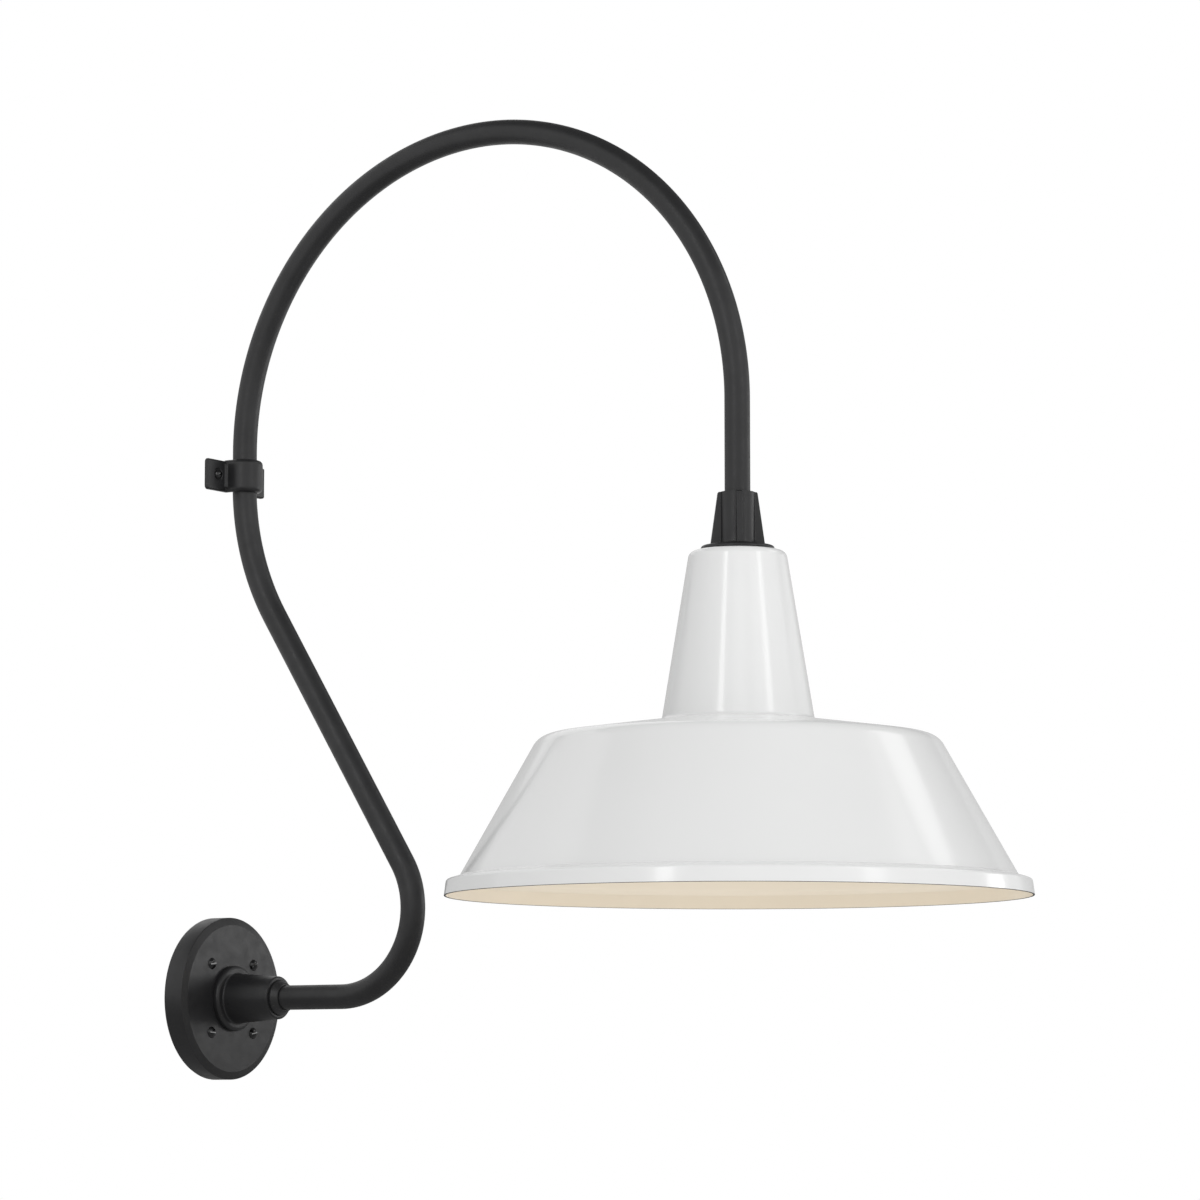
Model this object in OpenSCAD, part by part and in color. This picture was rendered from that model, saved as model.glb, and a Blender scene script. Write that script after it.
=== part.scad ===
// Gooseneck barn light: a spun shade hangs from a bent tube, which a cast hub on a round
// backplate and a strap higher up hold to a wall.
// Millimetres. The origin is the middle of the backplate, on the face of the wall.
// -Y points out from the wall, +Z points up, and +X points right as one faces the wall.

/* [Backplate] */
// Diameter of the backplate
plate_d = 149; // [140:1:180]
// Depth of the backplate from its rear rim to its flat front
plate_depth = 20.5; // [19:0.5:30]
// Width of the bevel round the flat front
plate_bevel_w = 6.4; // [3:0.2:8]
// Depth of the bevel
plate_bevel_d = 1.7; // [0.8:0.1:4]
// Thickness of the casting
plate_wall = 4.5; // [3:0.5:6]
// Thickness of the rubber gasket behind the backplate
gasket_t = 1.5; // [1:0.5:3]
// Width of the gasket's ring
gasket_w = 9; // [6:0.5:12]
// Distance of the gasket's edge inside the backplate's edge
gasket_inset = 1; // [0.5:0.5:3]
// Diameter of the bosses that the cover screws pass through
boss_d = 12; // [10:0.5:14]

/* [Cover screws] */
// Diameter of the circle that the four screws lie on
screw_pcd = 88.9; // [84:0.1:100]
// Diameter of a screw's plain shank, which ends at the face of the wall
cover_shank_d = 5.3; // [4.9:0.1:6]
// Diameter of a screw's thread behind the face of the wall
cover_thread_d = 4.8; // [4:0.1:4.8]
// Diameter of a screw's round head
cover_head_d = 10.6; // [9:0.1:12]
// Height of a screw's head
cover_head_h = 3.6; // [2.5:0.1:4.5]
// Length of a screw behind the face of the wall
cover_reach = 12; // [8:1:25]
// Width of a screw's slot
slot_w = 1.3; // [0.8:0.1:2]
// Depth of a screw's slot
slot_depth = 1.7; // [1:0.1:2.2]

/* [Hub] */
// Diameter of the hub's foot on the backplate
hub_foot_d = 60; // [54:1:66]
// Thickness of the foot
hub_foot_t = 6; // [5:0.5:9]
// Radius of the foot's rounded edge
hub_foot_round = 3.4; // [1:0.2:4.5]
// Diameter of the hub's cone where it leaves the foot
hub_root_d = 45.8; // [42:0.2:50]
// Diameter of the hub's nose
hub_nose_d = 39.2; // [38:0.2:44]
// Length of the hub in front of the backplate
hub_len = 53.5; // [48:0.5:70]
// Radius of the nose's rounded edge
hub_nose_round = 1.6; // [0.5:0.1:2.5]
// Diameter of the threaded shank that passes through the backplate
hub_shank_d = 21.3; // [19:0.1:24]
// Length of the shank behind the backplate's front wall
hub_shank_len = 10; // [9.5:0.5:12]
// Depth of the socket that holds the arm
hub_socket = 37.5; // [25:0.5:42]
// Diameter of the gland ring in the hub's nose
gland_d = 32; // [30:0.2:33]
// Height that the gland ring stands out of the nose
gland_proud = 7.5; // [4:0.5:9]
// Depth that the gland ring sits in the nose
gland_seat = 5.5; // [3:0.5:7]
// Thickness of the washer behind the backplate's front wall
hub_washer_t = 1.5; // [1:0.1:2.5]
// Diameter of that washer
hub_washer_d = 34; // [32:0.5:36]
// Width of the hub's lock nut across its flats
hub_nut_w = 28.6; // [27:0.2:30]
// Thickness of the hub's lock nut
hub_nut_t = 5.5; // [4:0.5:6]

/* [Arm] */
// Diameter of the tube
tube_d = 22.4; // [20:0.2:24]
// Wall of the tube
tube_wall = 1.6; // [1.2:0.1:2.2]
// Distance from the wall to where the tube starts to bend
bend_out = 146; // [120:1:180]
// Radius of the low bend
low_r = 78.5; // [70:0.5:100]
// Lean of the long straight run from the vertical, towards the wall
lean = 32.1; // [26:0.1:34]
// Length of the leaning run
lean_len = 274; // [240:1:290]
// Radius of the bend that brings the tube upright
mid_r = 237; // [180:1:240]
// Length of the upright run behind the strap
riser = 30; // [28:1:60]
// Radius of the arch on the side of the wall
rise_r = 271; // [240:1:300]
// Radius of the arch on the side of the shade
drop_r = 265.5; // [240:0.5:300]
// Length of the upright run above the collar
drop_len = 82.5; // [40:0.5:120]

/* [Strap] */
// Height of the strap's middle above the foot of the upright run
strap_rise = 6.6; // [5:0.2:8]
// Height of the strap
strap_h = 30.4; // [24:0.2:32]
// Thickness of the band round the tube
band_t = 5.2; // [4.8:0.2:7]
// Radius of the band's rounded edges
band_round = 4.4; // [1:0.2:4.6]
// Width of the strap over both ears
strap_w = 88.2; // [86:0.2:100]
// Thickness of an ear
ear_t = 4; // [3.6:0.1:6]
// Distance from the tube's middle to the ears' front faces, towards the wall
ear_back = 9.2; // [8:0.2:12]
// Radius of the ears' corners
ear_round = 3.5; // [1:0.5:6]
// Radius of the rounded edges round the front of an ear
ear_edge = 2.4; // [0.4:0.2:3.2]
// Height from an ear's upper edge to the top of the band
ear_drop = 1.2; // [0:0.2:3]
// Radius of the web between band and ear
ear_fillet = 3.2; // [1:0.2:4]
// Distance between the two strap screws
strap_screw_gap = 56; // [54:0.5:60]
// Diameter of a strap screw's head
strap_head_d = 9.2; // [8.4:0.2:10]
// Height of a strap screw's head
strap_head_h = 4; // [2.5:0.1:5]
// Diameter of a strap screw's plain shank, which ends at the rear face of the ear
strap_shank_d = 5.3; // [4.9:0.1:5.6]
// Diameter of a strap screw's thread behind the ear
strap_thread_d = 4.8; // [4:0.1:4.8]
// Length of a strap screw under its head
strap_screw_len = 9; // [7:0.5:11]
// Diameter of the round recess that a strap screw's head sits in
spot_d = 12.4; // [11:0.2:13]
// Depth of that recess
spot_depth = 0.6; // [0.4:0.1:1.2]

/* [Collar] */
// Height of the finned part of the collar
collar_h = 45.9; // [42:0.1:60]
// Diameter over the fins at the top
collar_top_d = 34.8; // [33:0.2:38]
// Diameter over the fins at the bottom
collar_foot_d = 47.6; // [42:0.2:52]
// Diameter of the core between the fins
collar_core_d = 30.2; // [29:0.2:32]
// Number of fins
fin_n = 4; // [3:1:8]
// Width of a fin
fin_w = 5.4; // [3:0.2:7]
// Turn of the fins about the upright axis
fin_turn = 36.5; // [0:0.5:90]
// Diameter of the collar's flange
flange_d = 64.4; // [60:0.2:70]
// Thickness of the flange
flange_t = 4.4; // [4:0.2:8]
// Radius of the flange's rounded edge
flange_round = 2.4; // [1:0.2:3]
// Depth of the collar's socket for the tube
collar_socket = 30; // [20:0.5:31]
// Thickness of the gasket between flange and shade
flange_gasket_t = 1; // [0.6:0.1:2]

/* [Shade] */
// Diameter of the shade at its rim
shade_d = 508; // [480:1:540]
// Thickness of the shade's sheet
shade_t = 1.6; // [1:0.1:2.4]
// Diameter of the neck at its top
neck_top_d = 84.2; // [80:0.2:92]
// Diameter of the neck at its foot
neck_foot_d = 132.6; // [120:0.2:150]
// Height of the neck
neck_h = 147.6; // [140:0.2:165]
// Radius of the neck's top edge
neck_round = 7.2; // [4:0.2:7.6]
// Radius of the hollow where neck meets roof
neck_fillet = 4; // [2:0.2:8]
// Diameter of the roof
roof_d = 345.8; // [320:0.2:370]
// Fall of the roof from the neck to its edge
roof_fall = 14.7; // [8:0.1:24]
// Radius of the roof's edge
roof_round = 18.6; // [8:0.2:26]
// Diameter of the skirt at its foot
skirt_d = 481.2; // [450:0.2:484]
// Height of the skirt
skirt_h = 120.2; // [100:0.2:140]
// Radius of the hollow where the skirt meets the lip
skirt_fillet = 2.2; // [1:0.1:4]
// Diameter of the lip at its top
lip_d = 504.4; // [496:0.2:506]
// Fall of the ledge between skirt and lip
ledge_fall = 3.4; // [1:0.1:6]
// Radius of the lip's top edge
lip_round = 3.2; // [2.6:0.1:5]
// Height of the lip
lip_h = 13.6; // [10:0.1:24]

/* [Stem and holder] */
// Diameter of the threaded stem that carries the shade and the lampholder
stem_d = 17.1; // [16:0.1:18]
// Bore of the stem
stem_bore = 12.6; // [12:0.1:13]
// Length of thread that the stem has in the collar
stem_grip = 15; // [12:0.5:16]
// Length of the stem below the shade's top
stem_drop = 26.5; // [25:0.5:32]
// Diameter of the washer under the shade's top
shade_washer_d = 44; // [36:0.5:48]
// Thickness of that washer
shade_washer_t = 1.5; // [1:0.1:2.5]
// Width of the shade's lock nut across its flats
shade_nut_w = 28; // [24:0.5:32]
// Thickness of the shade's lock nut
shade_nut_t = 6; // [4:0.5:7]
// Width of the bracket's lock nut across its flats
bracket_nut_w = 24; // [22:0.5:26]
// Thickness of the bracket's lock nut
bracket_nut_t = 4; // [3:0.5:5]
// Height of the bracket over the lampholder
bracket_h = 11.5; // [10.5:0.5:14]
// Thickness of the bracket's sheet
bracket_t = 1.5; // [1:0.1:2]
// Span of the bracket's bridge, outside its legs
bracket_span = 26; // [24:0.2:27]
// Width of the bracket
bracket_w = 22; // [20:0.5:24]
// Diameter of the head of a holder screw
holder_head_d = 6; // [5:0.1:6.4]
// Diameter of the head of a terminal screw
small_head_d = 6.6; // [6:0.1:6.8]
// Height of the head of a holder or terminal screw
small_head_h = 2; // [1.4:0.1:2.4]
// Diameter of the shank of a holder or terminal screw
small_shank_d = 3; // [2.4:0.1:3.2]
// Length of a holder screw under its head
holder_screw_len = 10; // [8:0.5:14]
// Diameter of the porcelain lampholder
holder_d = 44; // [43.4:0.2:50]
// Height of the lampholder
holder_h = 47; // [46:0.5:60]
// Diameter of the bead round the lampholder's mouth
holder_bead_d = 47; // [44:0.2:54]
// Height of that bead
holder_bead_h = 5; // [3:0.2:8]
// Depth of the lampholder's socket
holder_socket = 26; // [25.5:0.2:28]
// Wall of the lampholder's screw shell
shell_wall = 0.5; // [0.4:0.1:0.8]
// Height of the screw shell
shell_h = 22; // [18:0.5:24]

/* [Leads] */
// Diameter of a lead over its insulation
lead_d = 2.8; // [2.2:0.1:3]
// Diameter of a lead's bare copper
copper_d = 1.6; // [1.2:0.1:1.8]
// Distance of each lead from the tube's middle
lead_off = 4; // [3.4:0.1:4.2]
// Radius of a lead's bend over the lampholder
lead_bend = 5; // [4:0.5:6]
// Distance of the leads' rear ends from the wall
lead_tail = 2; // [1:0.5:4]
// Diameter of the flange of the bushing that the leads leave through
bushing_d = 20; // [18:0.5:21]
// Thickness of the bushing's flange
bushing_t = 1.5; // [1:0.1:2]
// Length of the bushing's plug
bushing_plug = 6; // [4:0.5:10]
// Distance of the earthing screw below the hub's axis
earth_drop = 30; // [28:0.5:34]
// Height of the earthing screw's boss
earth_boss_h = 3; // [2:0.5:4]

/* [Bulb] */
// Diameter of the bulb's glass
bulb_d = 60; // [50:1:70]
// Length of the bulb from its contact to the tip of its glass
bulb_len = 108; // [104:1:124]
// Wall of the glass
glass_t = 0.8; // [0.6:0.1:1.2]
// Diameter of the bulb's cap
cap_d = 26; // [25.4:0.1:26.4]
// Height of the cap
cap_h = 22.5; // [21:0.5:24]
// Height of the insulator between cap and contact
insulator_h = 2.5; // [1.5:0.1:3.5]

/* [Hidden] */
$fn = 96;

// Extra length of a cut past the face that it opens
cut = 1;
// Radial gap of a screw, shank or tube in its hole
slip = 0.15;
// Radial gap of a mating thread
thread_gap = 0.05;
// Radial gap between the bulb's cap and the lampholder's shell
bulb_gap = 0.35;
// Gap between the bulb's contact and the spring that it presses
contact_gap = 0.3;
// Radial gap round the leads in the bushing
lead_gap = 0.1;
// Gap between the head of a holder screw and the bracket's leg
head_gap = 0.5;
// Gap between the strap's band and the tube
strap_gap = 0.4;
// Number of straight steps in a rounded corner of a turned profile
round_steps = 8;
// Angle of one straight step in the ball of the glass
ball_step = 5;
// Angle above the ball's widest ring where the glass leaves the ball
ball_end = 40;
// Difference in diameter between stretches of a bent course that meet end to end
course_step = 0.12;
// Length by which such stretches run into each other
course_lap = 0.1;
// Number of sides of a nut
nut_sides = 6;
// Diameter of the set screws that clamp the tube
set_screw_d = 6;
// Width of a set screw's hexagonal socket across its flats
set_key_w = 3;
// Lengths of the set screws in the hub and in the collar
hub_screw_len = 9;
collar_screw_len = 5;
// Wall of the hub's shank, and radius of the hollow round the root of its cone
hub_shank_wall = 3;
hub_root_round = 1.2;
// Share of the gland ring's height that is domed
gland_dome = 0.8;
// Width of the gland ring's flat lip, and radii of its two edges
gland_lip = 1.6;
gland_round = 2.5;
gland_lip_round = 1;
// Chamfer round the top of the collar, drop of its flange towards the edge, draft of
// the flange's side, and depth that core and fins run down into the flange
collar_chamfer = 1.4;
flange_crown = 1.5;
flange_draft = 0.3;
fin_sunk = 3;
// Earthing screw: boss, shank, head and depth of the hole
earth_boss_d = 9;
earth_shank_d = 3.8;
earth_head_d = 8;
earth_hole_depth = earth_boss_h + 3;
// Gap between the tip of the earthing screw and the end of its hole
earth_tip_gap = 1;
// Length of the stem that stands out under the bracket's bridge
stem_proud = 1;
// Radius of the lampholder's rounded edges, and height of the slope over its bead
holder_chamfer = 1;
bead_slope = 1.5;
// Distance of each terminal in front of or behind the lampholder's axis
terminal_y = 15;
// Thickness, width and length of a terminal plate
terminal_t = 1.2;
terminal_w = 9;
terminal_len = 8;
// Depth of a terminal screw in the lampholder
terminal_screw_len = 8;
// Length of a lead from its bend to the end of its insulation
lead_strip = 10.5;
// Length of a lead's bare end past the terminal screw or the earthing screw
copper_past = 2;
// Distance from the edge of the earthing screw's boss to the start of the insulation
earth_strip = 1;
// Length of the earthing lead's insulation between its start and its bend
earth_run = 5;
// Height and width of the spring in the socket's floor
contact_spring_h = 2.4;
contact_spring_d = 9;
// Height and width of the bulb's contact
contact_h = 1.2;
contact_d = 9;
// Outer diameter of the bulb's neck, its depth in the cap and the radius of its hollow
bulb_neck_d = 24.6;
cap_glass = 9;
// Thickness of the cap's top, and distance of the insulator's edge inside the cap's
cap_crown = 1;
insulator_inset = 3;
// Distance of the insulator's top edge outside the contact
insulator_lip = 0.5;
glass_neck_r = 15;

charcoal = [0.12, 0.12, 0.125];
enamel = [0.93, 0.93, 0.91];
steel = [0.7, 0.7, 0.72];
brass = [0.8, 0.65, 0.32];
rubber = [0.06, 0.06, 0.06];

plate_r = plate_d / 2;
plate_front = gasket_t + plate_depth;
plate_inside = plate_front - plate_wall;
screw_r = screw_pcd / 2;
screw_angles = [45, 135, 225, 315];
slot_turns = [28, 8, 174, 12];

hub_foot_top = plate_front + hub_foot_t;
hub_nose = plate_front + hub_len;
hub_shank_end = plate_inside - hub_shank_len;
hub_socket_end = hub_nose - hub_socket;
hub_passage_d = hub_shank_d - 2 * hub_shank_wall;
gland_bottom = hub_nose - gland_seat;
gland_top = hub_nose + gland_proud;
hub_screw_out = (hub_socket_end + gland_bottom) / 2;
earth_head_out = plate_inside - earth_boss_h - copper_d - 2 * thread_gap;

low_end = [bend_out, low_r] + low_r * [cos(lean), sin(lean)];
lean_end = low_end + lean_len * [-sin(lean), cos(lean)];
mid_centre = lean_end + mid_r * [cos(lean), sin(lean)];
riser_foot = mid_centre - [mid_r, 0];
rise_centre = riser_foot + [rise_r, riser];
drop_centre = rise_centre + [0, rise_r - drop_r];
drop_start = drop_centre + [drop_r, 0];

axis_out = drop_start[0];
collar_top = drop_start[1] - drop_len;
flange_top = collar_top - collar_h;
flange_bottom = flange_top - flange_t;
tube_end = collar_top - collar_socket;
collar_screw_z = tube_end + collar_socket / 2;
collar_screw_turn = fin_turn + 180 / fin_n;
shade_top = flange_bottom - flange_gasket_t;

strap_z = riser_foot[1] + strap_rise;
ear_front = riser_foot[0] - ear_back;
ear_rear = ear_front - ear_t;
band_in = tube_d / 2 + strap_gap;
band_out = band_in + band_t;

neck_foot_z = -neck_h;
roof_z = neck_foot_z - roof_fall;
skirt_z = roof_z - skirt_h;
lip_z = skirt_z - ledge_fall;
rim_z = lip_z - lip_h;

stem_end = shade_top - stem_drop;
bracket_top = stem_end + bracket_t + stem_proud;
holder_top = bracket_top - bracket_h;
holder_mouth = holder_top - holder_h;
socket_floor = holder_mouth + holder_socket;
washer_bottom = shade_top - shade_t - shade_washer_t;
shade_nut_bottom = washer_bottom - shade_nut_t;
holder_screw_gap = bracket_span + holder_head_d + 2 * head_gap;
terminal_x = lead_off + (small_shank_d + copper_d) / 2 + thread_gap;
lead_z = holder_top + terminal_t + copper_d / 2 + thread_gap;
terminal_head_z = lead_z + copper_d / 2 + thread_gap;

bulb_top = socket_floor - contact_spring_h - contact_gap;
bulb_tip = bulb_top - bulb_len;
cap_top = bulb_top - contact_h - insulator_h;
cap_bottom = cap_top - cap_h;
shell_in_d = cap_d + 2 * bulb_gap;
shell_out_d = shell_in_d + 2 * shell_wall;

// A vector of length 1 along v
function unit(v) = v / norm(v);

// The vector v turned a quarter turn clockwise
function right_of(v) = [v[1], -v[0]];

// Positive where the way from a to b turns left
function turning(a, b) = sign(a[0] * b[1] - a[1] * b[0]);

// Corner i of path p, moved by t to the right of the way along the path
function moved_corner(p, i, t) =
    let (m = right_of(unit(p[i] - p[i - 1])) + right_of(unit(p[i + 1] - p[i])))
    p[i] + m * 2 * t / (m * m);

// The points of an arc of radius r that rounds corner i of path p
function corner_arc(p, i, r) =
    let (
        back = unit(p[i - 1] - p[i]),
        ahead = unit(p[i + 1] - p[i]),
        half = acos(back * ahead) / 2,
        centre = p[i] + unit(back + ahead) * r / sin(half),
        first = p[i] + back * r / tan(half) - centre,
        start = atan2(first[1], first[0]),
        sweep = turning(-back, ahead) * (180 - 2 * half)
    )
    [for (k = [0 : round_steps]) centre + r * [cos(start + sweep * k / round_steps),
                                               sin(start + sweep * k / round_steps)]];

// Path p with each corner rounded by its own radius in list r, where 0 keeps it sharp
function rounded(p, r) =
    [for (i = [0 : len(p) - 1]) each (r[i] == 0 ? [p[i]] : corner_arc(p, i, r[i]))];

// The list in reverse order
function reversed(list) = [for (i = [len(list) - 1 : -1 : 0]) list[i]];

// The radius of the ball whose cap is d wide and h high
function cap_ball_r(d, h) = (d * d / 4 + h * h) / (2 * h);

// Turned solid with the given outline of [radius, height] points
module turned(outline) {
    rotate_extrude() polygon(outline);
}

// Children with their own Z pointing out from the wall and Y up
module outward() {
    rotate([90, 0, 0]) children();
}

// Children on the shade's upright axis at height z
module on_axis(z = 0) {
    translate([0, -axis_out, z]) children();
}

// Straight tube up from the origin
module pipe(d, bore, h) {
    difference() {
        cylinder(d = d, h = h);
        translate([0, 0, -cut]) cylinder(d = bore, h = h + 2 * cut);
    }
}

// Hexagonal nut up from the origin, with a bore of diameter d
module nut(w, d, h) {
    difference() {
        cylinder(d = w / cos(180 / nut_sides), h = h, $fn = nut_sides);
        translate([0, 0, -cut]) cylinder(d = d, h = h + 2 * cut);
    }
}

// Domed screw head up from the origin
module round_head(d, h) {
    ball_r = cap_ball_r(d, h);
    intersection() {
        translate([0, 0, h - ball_r]) sphere(r = ball_r);
        cylinder(d = 1.2 * d, h = 2 * h);
    }
}

// Bar of a slot or cross, to cut into the top of a head of height h
module slot_bar(d, h, w, depth, turn) {
    rotate(turn) translate([-d, -w / 2, h - depth]) cube([2 * d, w, 2 * depth]);
}

// Screw with its head up from the origin, its plain shank down and its thread below that
module round_head_screw(head_d, head_h, shank_d, shank_len, thread_d, length) {
    round_head(head_d, head_h);
    translate([0, 0, -shank_len]) cylinder(d = shank_d, h = shank_len + head_h / 2);
    translate([0, 0, -length]) cylinder(d = thread_d, h = length);
}

// Slotted screw with its head up from the origin and a shank of one diameter down
module slotted_screw(head_d, head_h, shank_d, length, turn) {
    difference() {
        round_head_screw(head_d, head_h, shank_d, length, shank_d, length);
        slot_bar(head_d, head_h, slot_w, slot_depth, turn);
    }
}

// Set screw up from its point at the origin, with a hexagonal socket in its top
module set_screw(length) {
    difference() {
        cylinder(d = set_screw_d, h = length);
        translate([0, 0, length - set_key_w])
            cylinder(d = set_key_w / cos(30), h = set_key_w + cut, $fn = 6);
    }
}

// Round section of a course, solid where bore is 0, and thicker by a number of steps
module section(d, bore, steps) {
    difference() {
        circle(d = d + steps * course_step);
        if (bore > 0) circle(d = bore - steps * course_step);
    }
}

// Straight stretch of a course from a point, along a heading
module straight_run(from, heading, length, d, bore) {
    translate([from[0], from[1], 0]) rotate(heading) rotate([0, 90, 0])
        translate([0, 0, -course_lap])
            linear_extrude(height = length + 2 * course_lap) section(d, bore, 1);
}

// Bend of a course about a centre, from an angle through a sweep
module bend(centre, radius, start, sweep, d, bore, steps = 0) {
    translate([centre[0], centre[1], 0]) rotate(start)
        rotate_extrude(angle = sweep) translate([radius, 0]) section(d, bore, steps);
}

// The arm's whole course, from a distance out of the wall round to a height on the axis
module arm_course(d, bore, tail_out, end_z) {
    drop_sweep = 90 + course_lap / drop_r * 180 / PI;
    rotate([90, 0, -90]) {
        straight_run([tail_out + course_lap, 0], 0, bend_out - tail_out - course_lap, d, bore);
        bend([bend_out, low_r], low_r, -90, 90 + lean, d, bore);
        straight_run(low_end, 90 + lean, lean_len, d, bore);
        bend(mid_centre, mid_r, 180, lean, d, bore);
        straight_run(riser_foot, 90, riser, d, bore);
        bend(rise_centre, rise_r, 90, 90, d, bore);
        bend(drop_centre, drop_r, 0, drop_sweep, d, bore, 2);
        straight_run(drop_start, -90, drop_start[1] - end_z - course_lap, d, bore);
    }
}

// Cast cover with four bosses inside it and an open back
module backplate() {
    color(charcoal) outward() difference() {
        union() {
            difference() {
                turned([[0, gasket_t], [plate_r, gasket_t],
                        [plate_r, plate_front - plate_bevel_d],
                        [plate_r - plate_bevel_w, plate_front], [0, plate_front]]);
                translate([0, 0, gasket_t - cut])
                    cylinder(r = plate_r - plate_wall, h = plate_depth - plate_wall + cut);
            }
            for (a = screw_angles)
                rotate(a) translate([screw_r, 0, gasket_t])
                    cylinder(d = boss_d, h = plate_depth - plate_wall / 2);
            translate([0, -earth_drop, plate_inside - earth_boss_h])
                cylinder(d = earth_boss_d, h = earth_boss_h + plate_wall / 2);
        }
        for (a = screw_angles)
            rotate(a) translate([screw_r, 0, 0])
                cylinder(d = cover_shank_d + 2 * slip, h = plate_front + cut);
        cylinder(d = hub_shank_d + 2 * slip, h = plate_front + cut);
        translate([0, -earth_drop, plate_inside - earth_boss_h - cut])
            cylinder(d = earth_shank_d + 2 * thread_gap, h = earth_hole_depth + cut);
    }
}

// Flat rubber ring between the backplate's rim and the wall
module wall_gasket() {
    gasket_r = plate_r - gasket_inset;
    color(rubber) outward() pipe(2 * gasket_r, 2 * (gasket_r - gasket_w), gasket_t);
}

// Four slotted round-head screws that hold the backplate to the box in the wall
module cover_screws() {
    color(charcoal) outward()
        for (k = [0 : len(screw_angles) - 1])
            rotate(screw_angles[k]) translate([screw_r, 0, plate_front]) difference() {
                round_head_screw(cover_head_d, cover_head_h, cover_shank_d, plate_front,
                                 cover_thread_d, plate_front + cover_reach);
                slot_bar(cover_head_d, cover_head_h, slot_w, slot_depth,
                         slot_turns[k] - screw_angles[k]);
            }
}

// Cast hub: threaded shank, round foot, cone and nose, with the arm's socket
module hub() {
    shank_r = hub_shank_d / 2;
    foot_r = hub_foot_d / 2;
    outline = rounded(
        [[0, hub_shank_end], [shank_r, hub_shank_end], [shank_r, plate_front],
         [foot_r, plate_front], [foot_r, hub_foot_top], [hub_root_d / 2, hub_foot_top],
         [hub_nose_d / 2, hub_nose], [0, hub_nose]],
        [0, 0, 0, 0, hub_foot_round, hub_root_round, hub_nose_round, 0]);
    color(charcoal) outward() difference() {
        turned(outline);
        translate([0, 0, hub_socket_end])
            cylinder(d = tube_d + 2 * slip, h = hub_socket + cut);
        translate([0, 0, hub_shank_end - cut])
            cylinder(d = hub_passage_d, h = hub_socket_end - hub_shank_end + 2 * cut);
        translate([0, 0, gland_bottom])
            cylinder(d = gland_d + 2 * slip, h = gland_seat + cut);
        translate([0, 0, hub_screw_out]) rotate([90, 0, 0])
            cylinder(d = set_screw_d + 2 * thread_gap, h = hub_root_d);
    }
}

// Flat washer on the shank, behind the backplate's front wall
module hub_washer() {
    color(steel) outward() translate([0, 0, plate_inside - hub_washer_t])
        pipe(hub_washer_d, hub_shank_d + 2 * slip, hub_washer_t);
}

// Nut that pulls the hub against the backplate
module hub_lock_nut() {
    color(steel) outward() translate([0, 0, plate_inside - hub_washer_t - hub_nut_t])
        nut(hub_nut_w, hub_shank_d + 2 * thread_gap, hub_nut_t);
}

// Domed ring that closes the hub's nose round the tube
module gland_ring() {
    bore_r = tube_d / 2 + slip;
    dome_h = gland_proud * gland_dome;
    outline = rounded(
        [[bore_r, gland_bottom], [gland_d / 2, gland_bottom], [gland_d / 2, gland_top - dome_h],
         [bore_r + gland_lip, gland_top], [bore_r, gland_top]],
        [0, 0, gland_round, gland_lip_round, 0]);
    color(charcoal) outward() turned(outline);
}

// Set screw under the hub, with its point on the tube
module hub_set_screw() {
    color(steel) translate([0, -hub_screw_out, -tube_d / 2 - slip]) rotate([180, 0, 0])
        set_screw(hub_screw_len);
}

// Bent tube from the hub's socket over the arch and down to the collar's socket
module arm_tube() {
    color(charcoal) arm_course(tube_d, tube_d - 2 * tube_wall, hub_socket_end, tube_end);
}

// Half outline of the strap's band: radius across, height up, with rounded outer edges
module band_section() {
    polygon(rounded(
        [[band_in, -strap_h / 2], [band_out, -strap_h / 2], [band_out, strap_h / 2],
         [band_in, strap_h / 2]],
        [0, band_round, band_round, 0]));
}

// One ear of the strap, from the band to its outer edge, flat on its rear face: the outline from
// the front, cut to the rounded edges that its section from the side and its plan show
module ear() {
    low = -strap_h / 2;
    high = strap_h / 2 - ear_drop;
    difference() {
        intersection() {
            rotate([90, 0, 0]) linear_extrude(height = ear_t)
                polygon(rounded(
                    [[band_in, low], [strap_w / 2, low], [strap_w / 2, high], [band_in, high]],
                    [0, ear_round, ear_round, 0]));
            rotate([90, 0, 90]) linear_extrude(height = strap_w)
                polygon(rounded(
                    [[cut, low], [-ear_t, low], [-ear_t, high], [cut, high]],
                    [0, ear_edge, ear_edge, 0]));
            translate([0, 0, -strap_h]) linear_extrude(height = 2 * strap_h)
                polygon(rounded(
                    [[0, -ear_t], [strap_w / 2, -ear_t], [strap_w / 2, cut], [0, cut]],
                    [0, ear_edge, 0, 0]));
        }
        translate([strap_screw_gap / 2, cut, 0]) rotate([90, 0, 0])
            cylinder(d = strap_shank_d + 2 * slip, h = ear_t + 2 * cut);
        translate([strap_screw_gap / 2, -ear_t + spot_depth, 0]) rotate([90, 0, 0])
            cylinder(d = spot_d, h = spot_depth + cut);
    }
}

// Hollow web that blends one side of the band into the front of an ear
module ear_web() {
    web_h = strap_h - 2 * band_round;
    translate([0, 0, -web_h / 2]) linear_extrude(height = web_h)
        difference() {
            translate([band_out - cut, -ear_t - ear_fillet])
                square([ear_fillet + cut, ear_fillet + cut]);
            translate([band_out + ear_fillet, -ear_t - ear_fillet]) circle(r = ear_fillet);
        }
}

// Cast saddle round the tube with two ears parallel to the wall
module wall_strap() {
    color(charcoal) {
        translate([0, -riser_foot[0], strap_z])
            rotate(180) rotate_extrude(angle = 180) band_section();
        translate([0, -ear_rear, strap_z])
            for (side = [0, 1]) mirror([side, 0, 0]) {
                ear();
                ear_web();
                translate([0, ear_rear - riser_foot[0], 0]) rotate([-90, 0, 0])
                    linear_extrude(height = riser_foot[0] - ear_rear) band_section();
            }
    }
}

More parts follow.
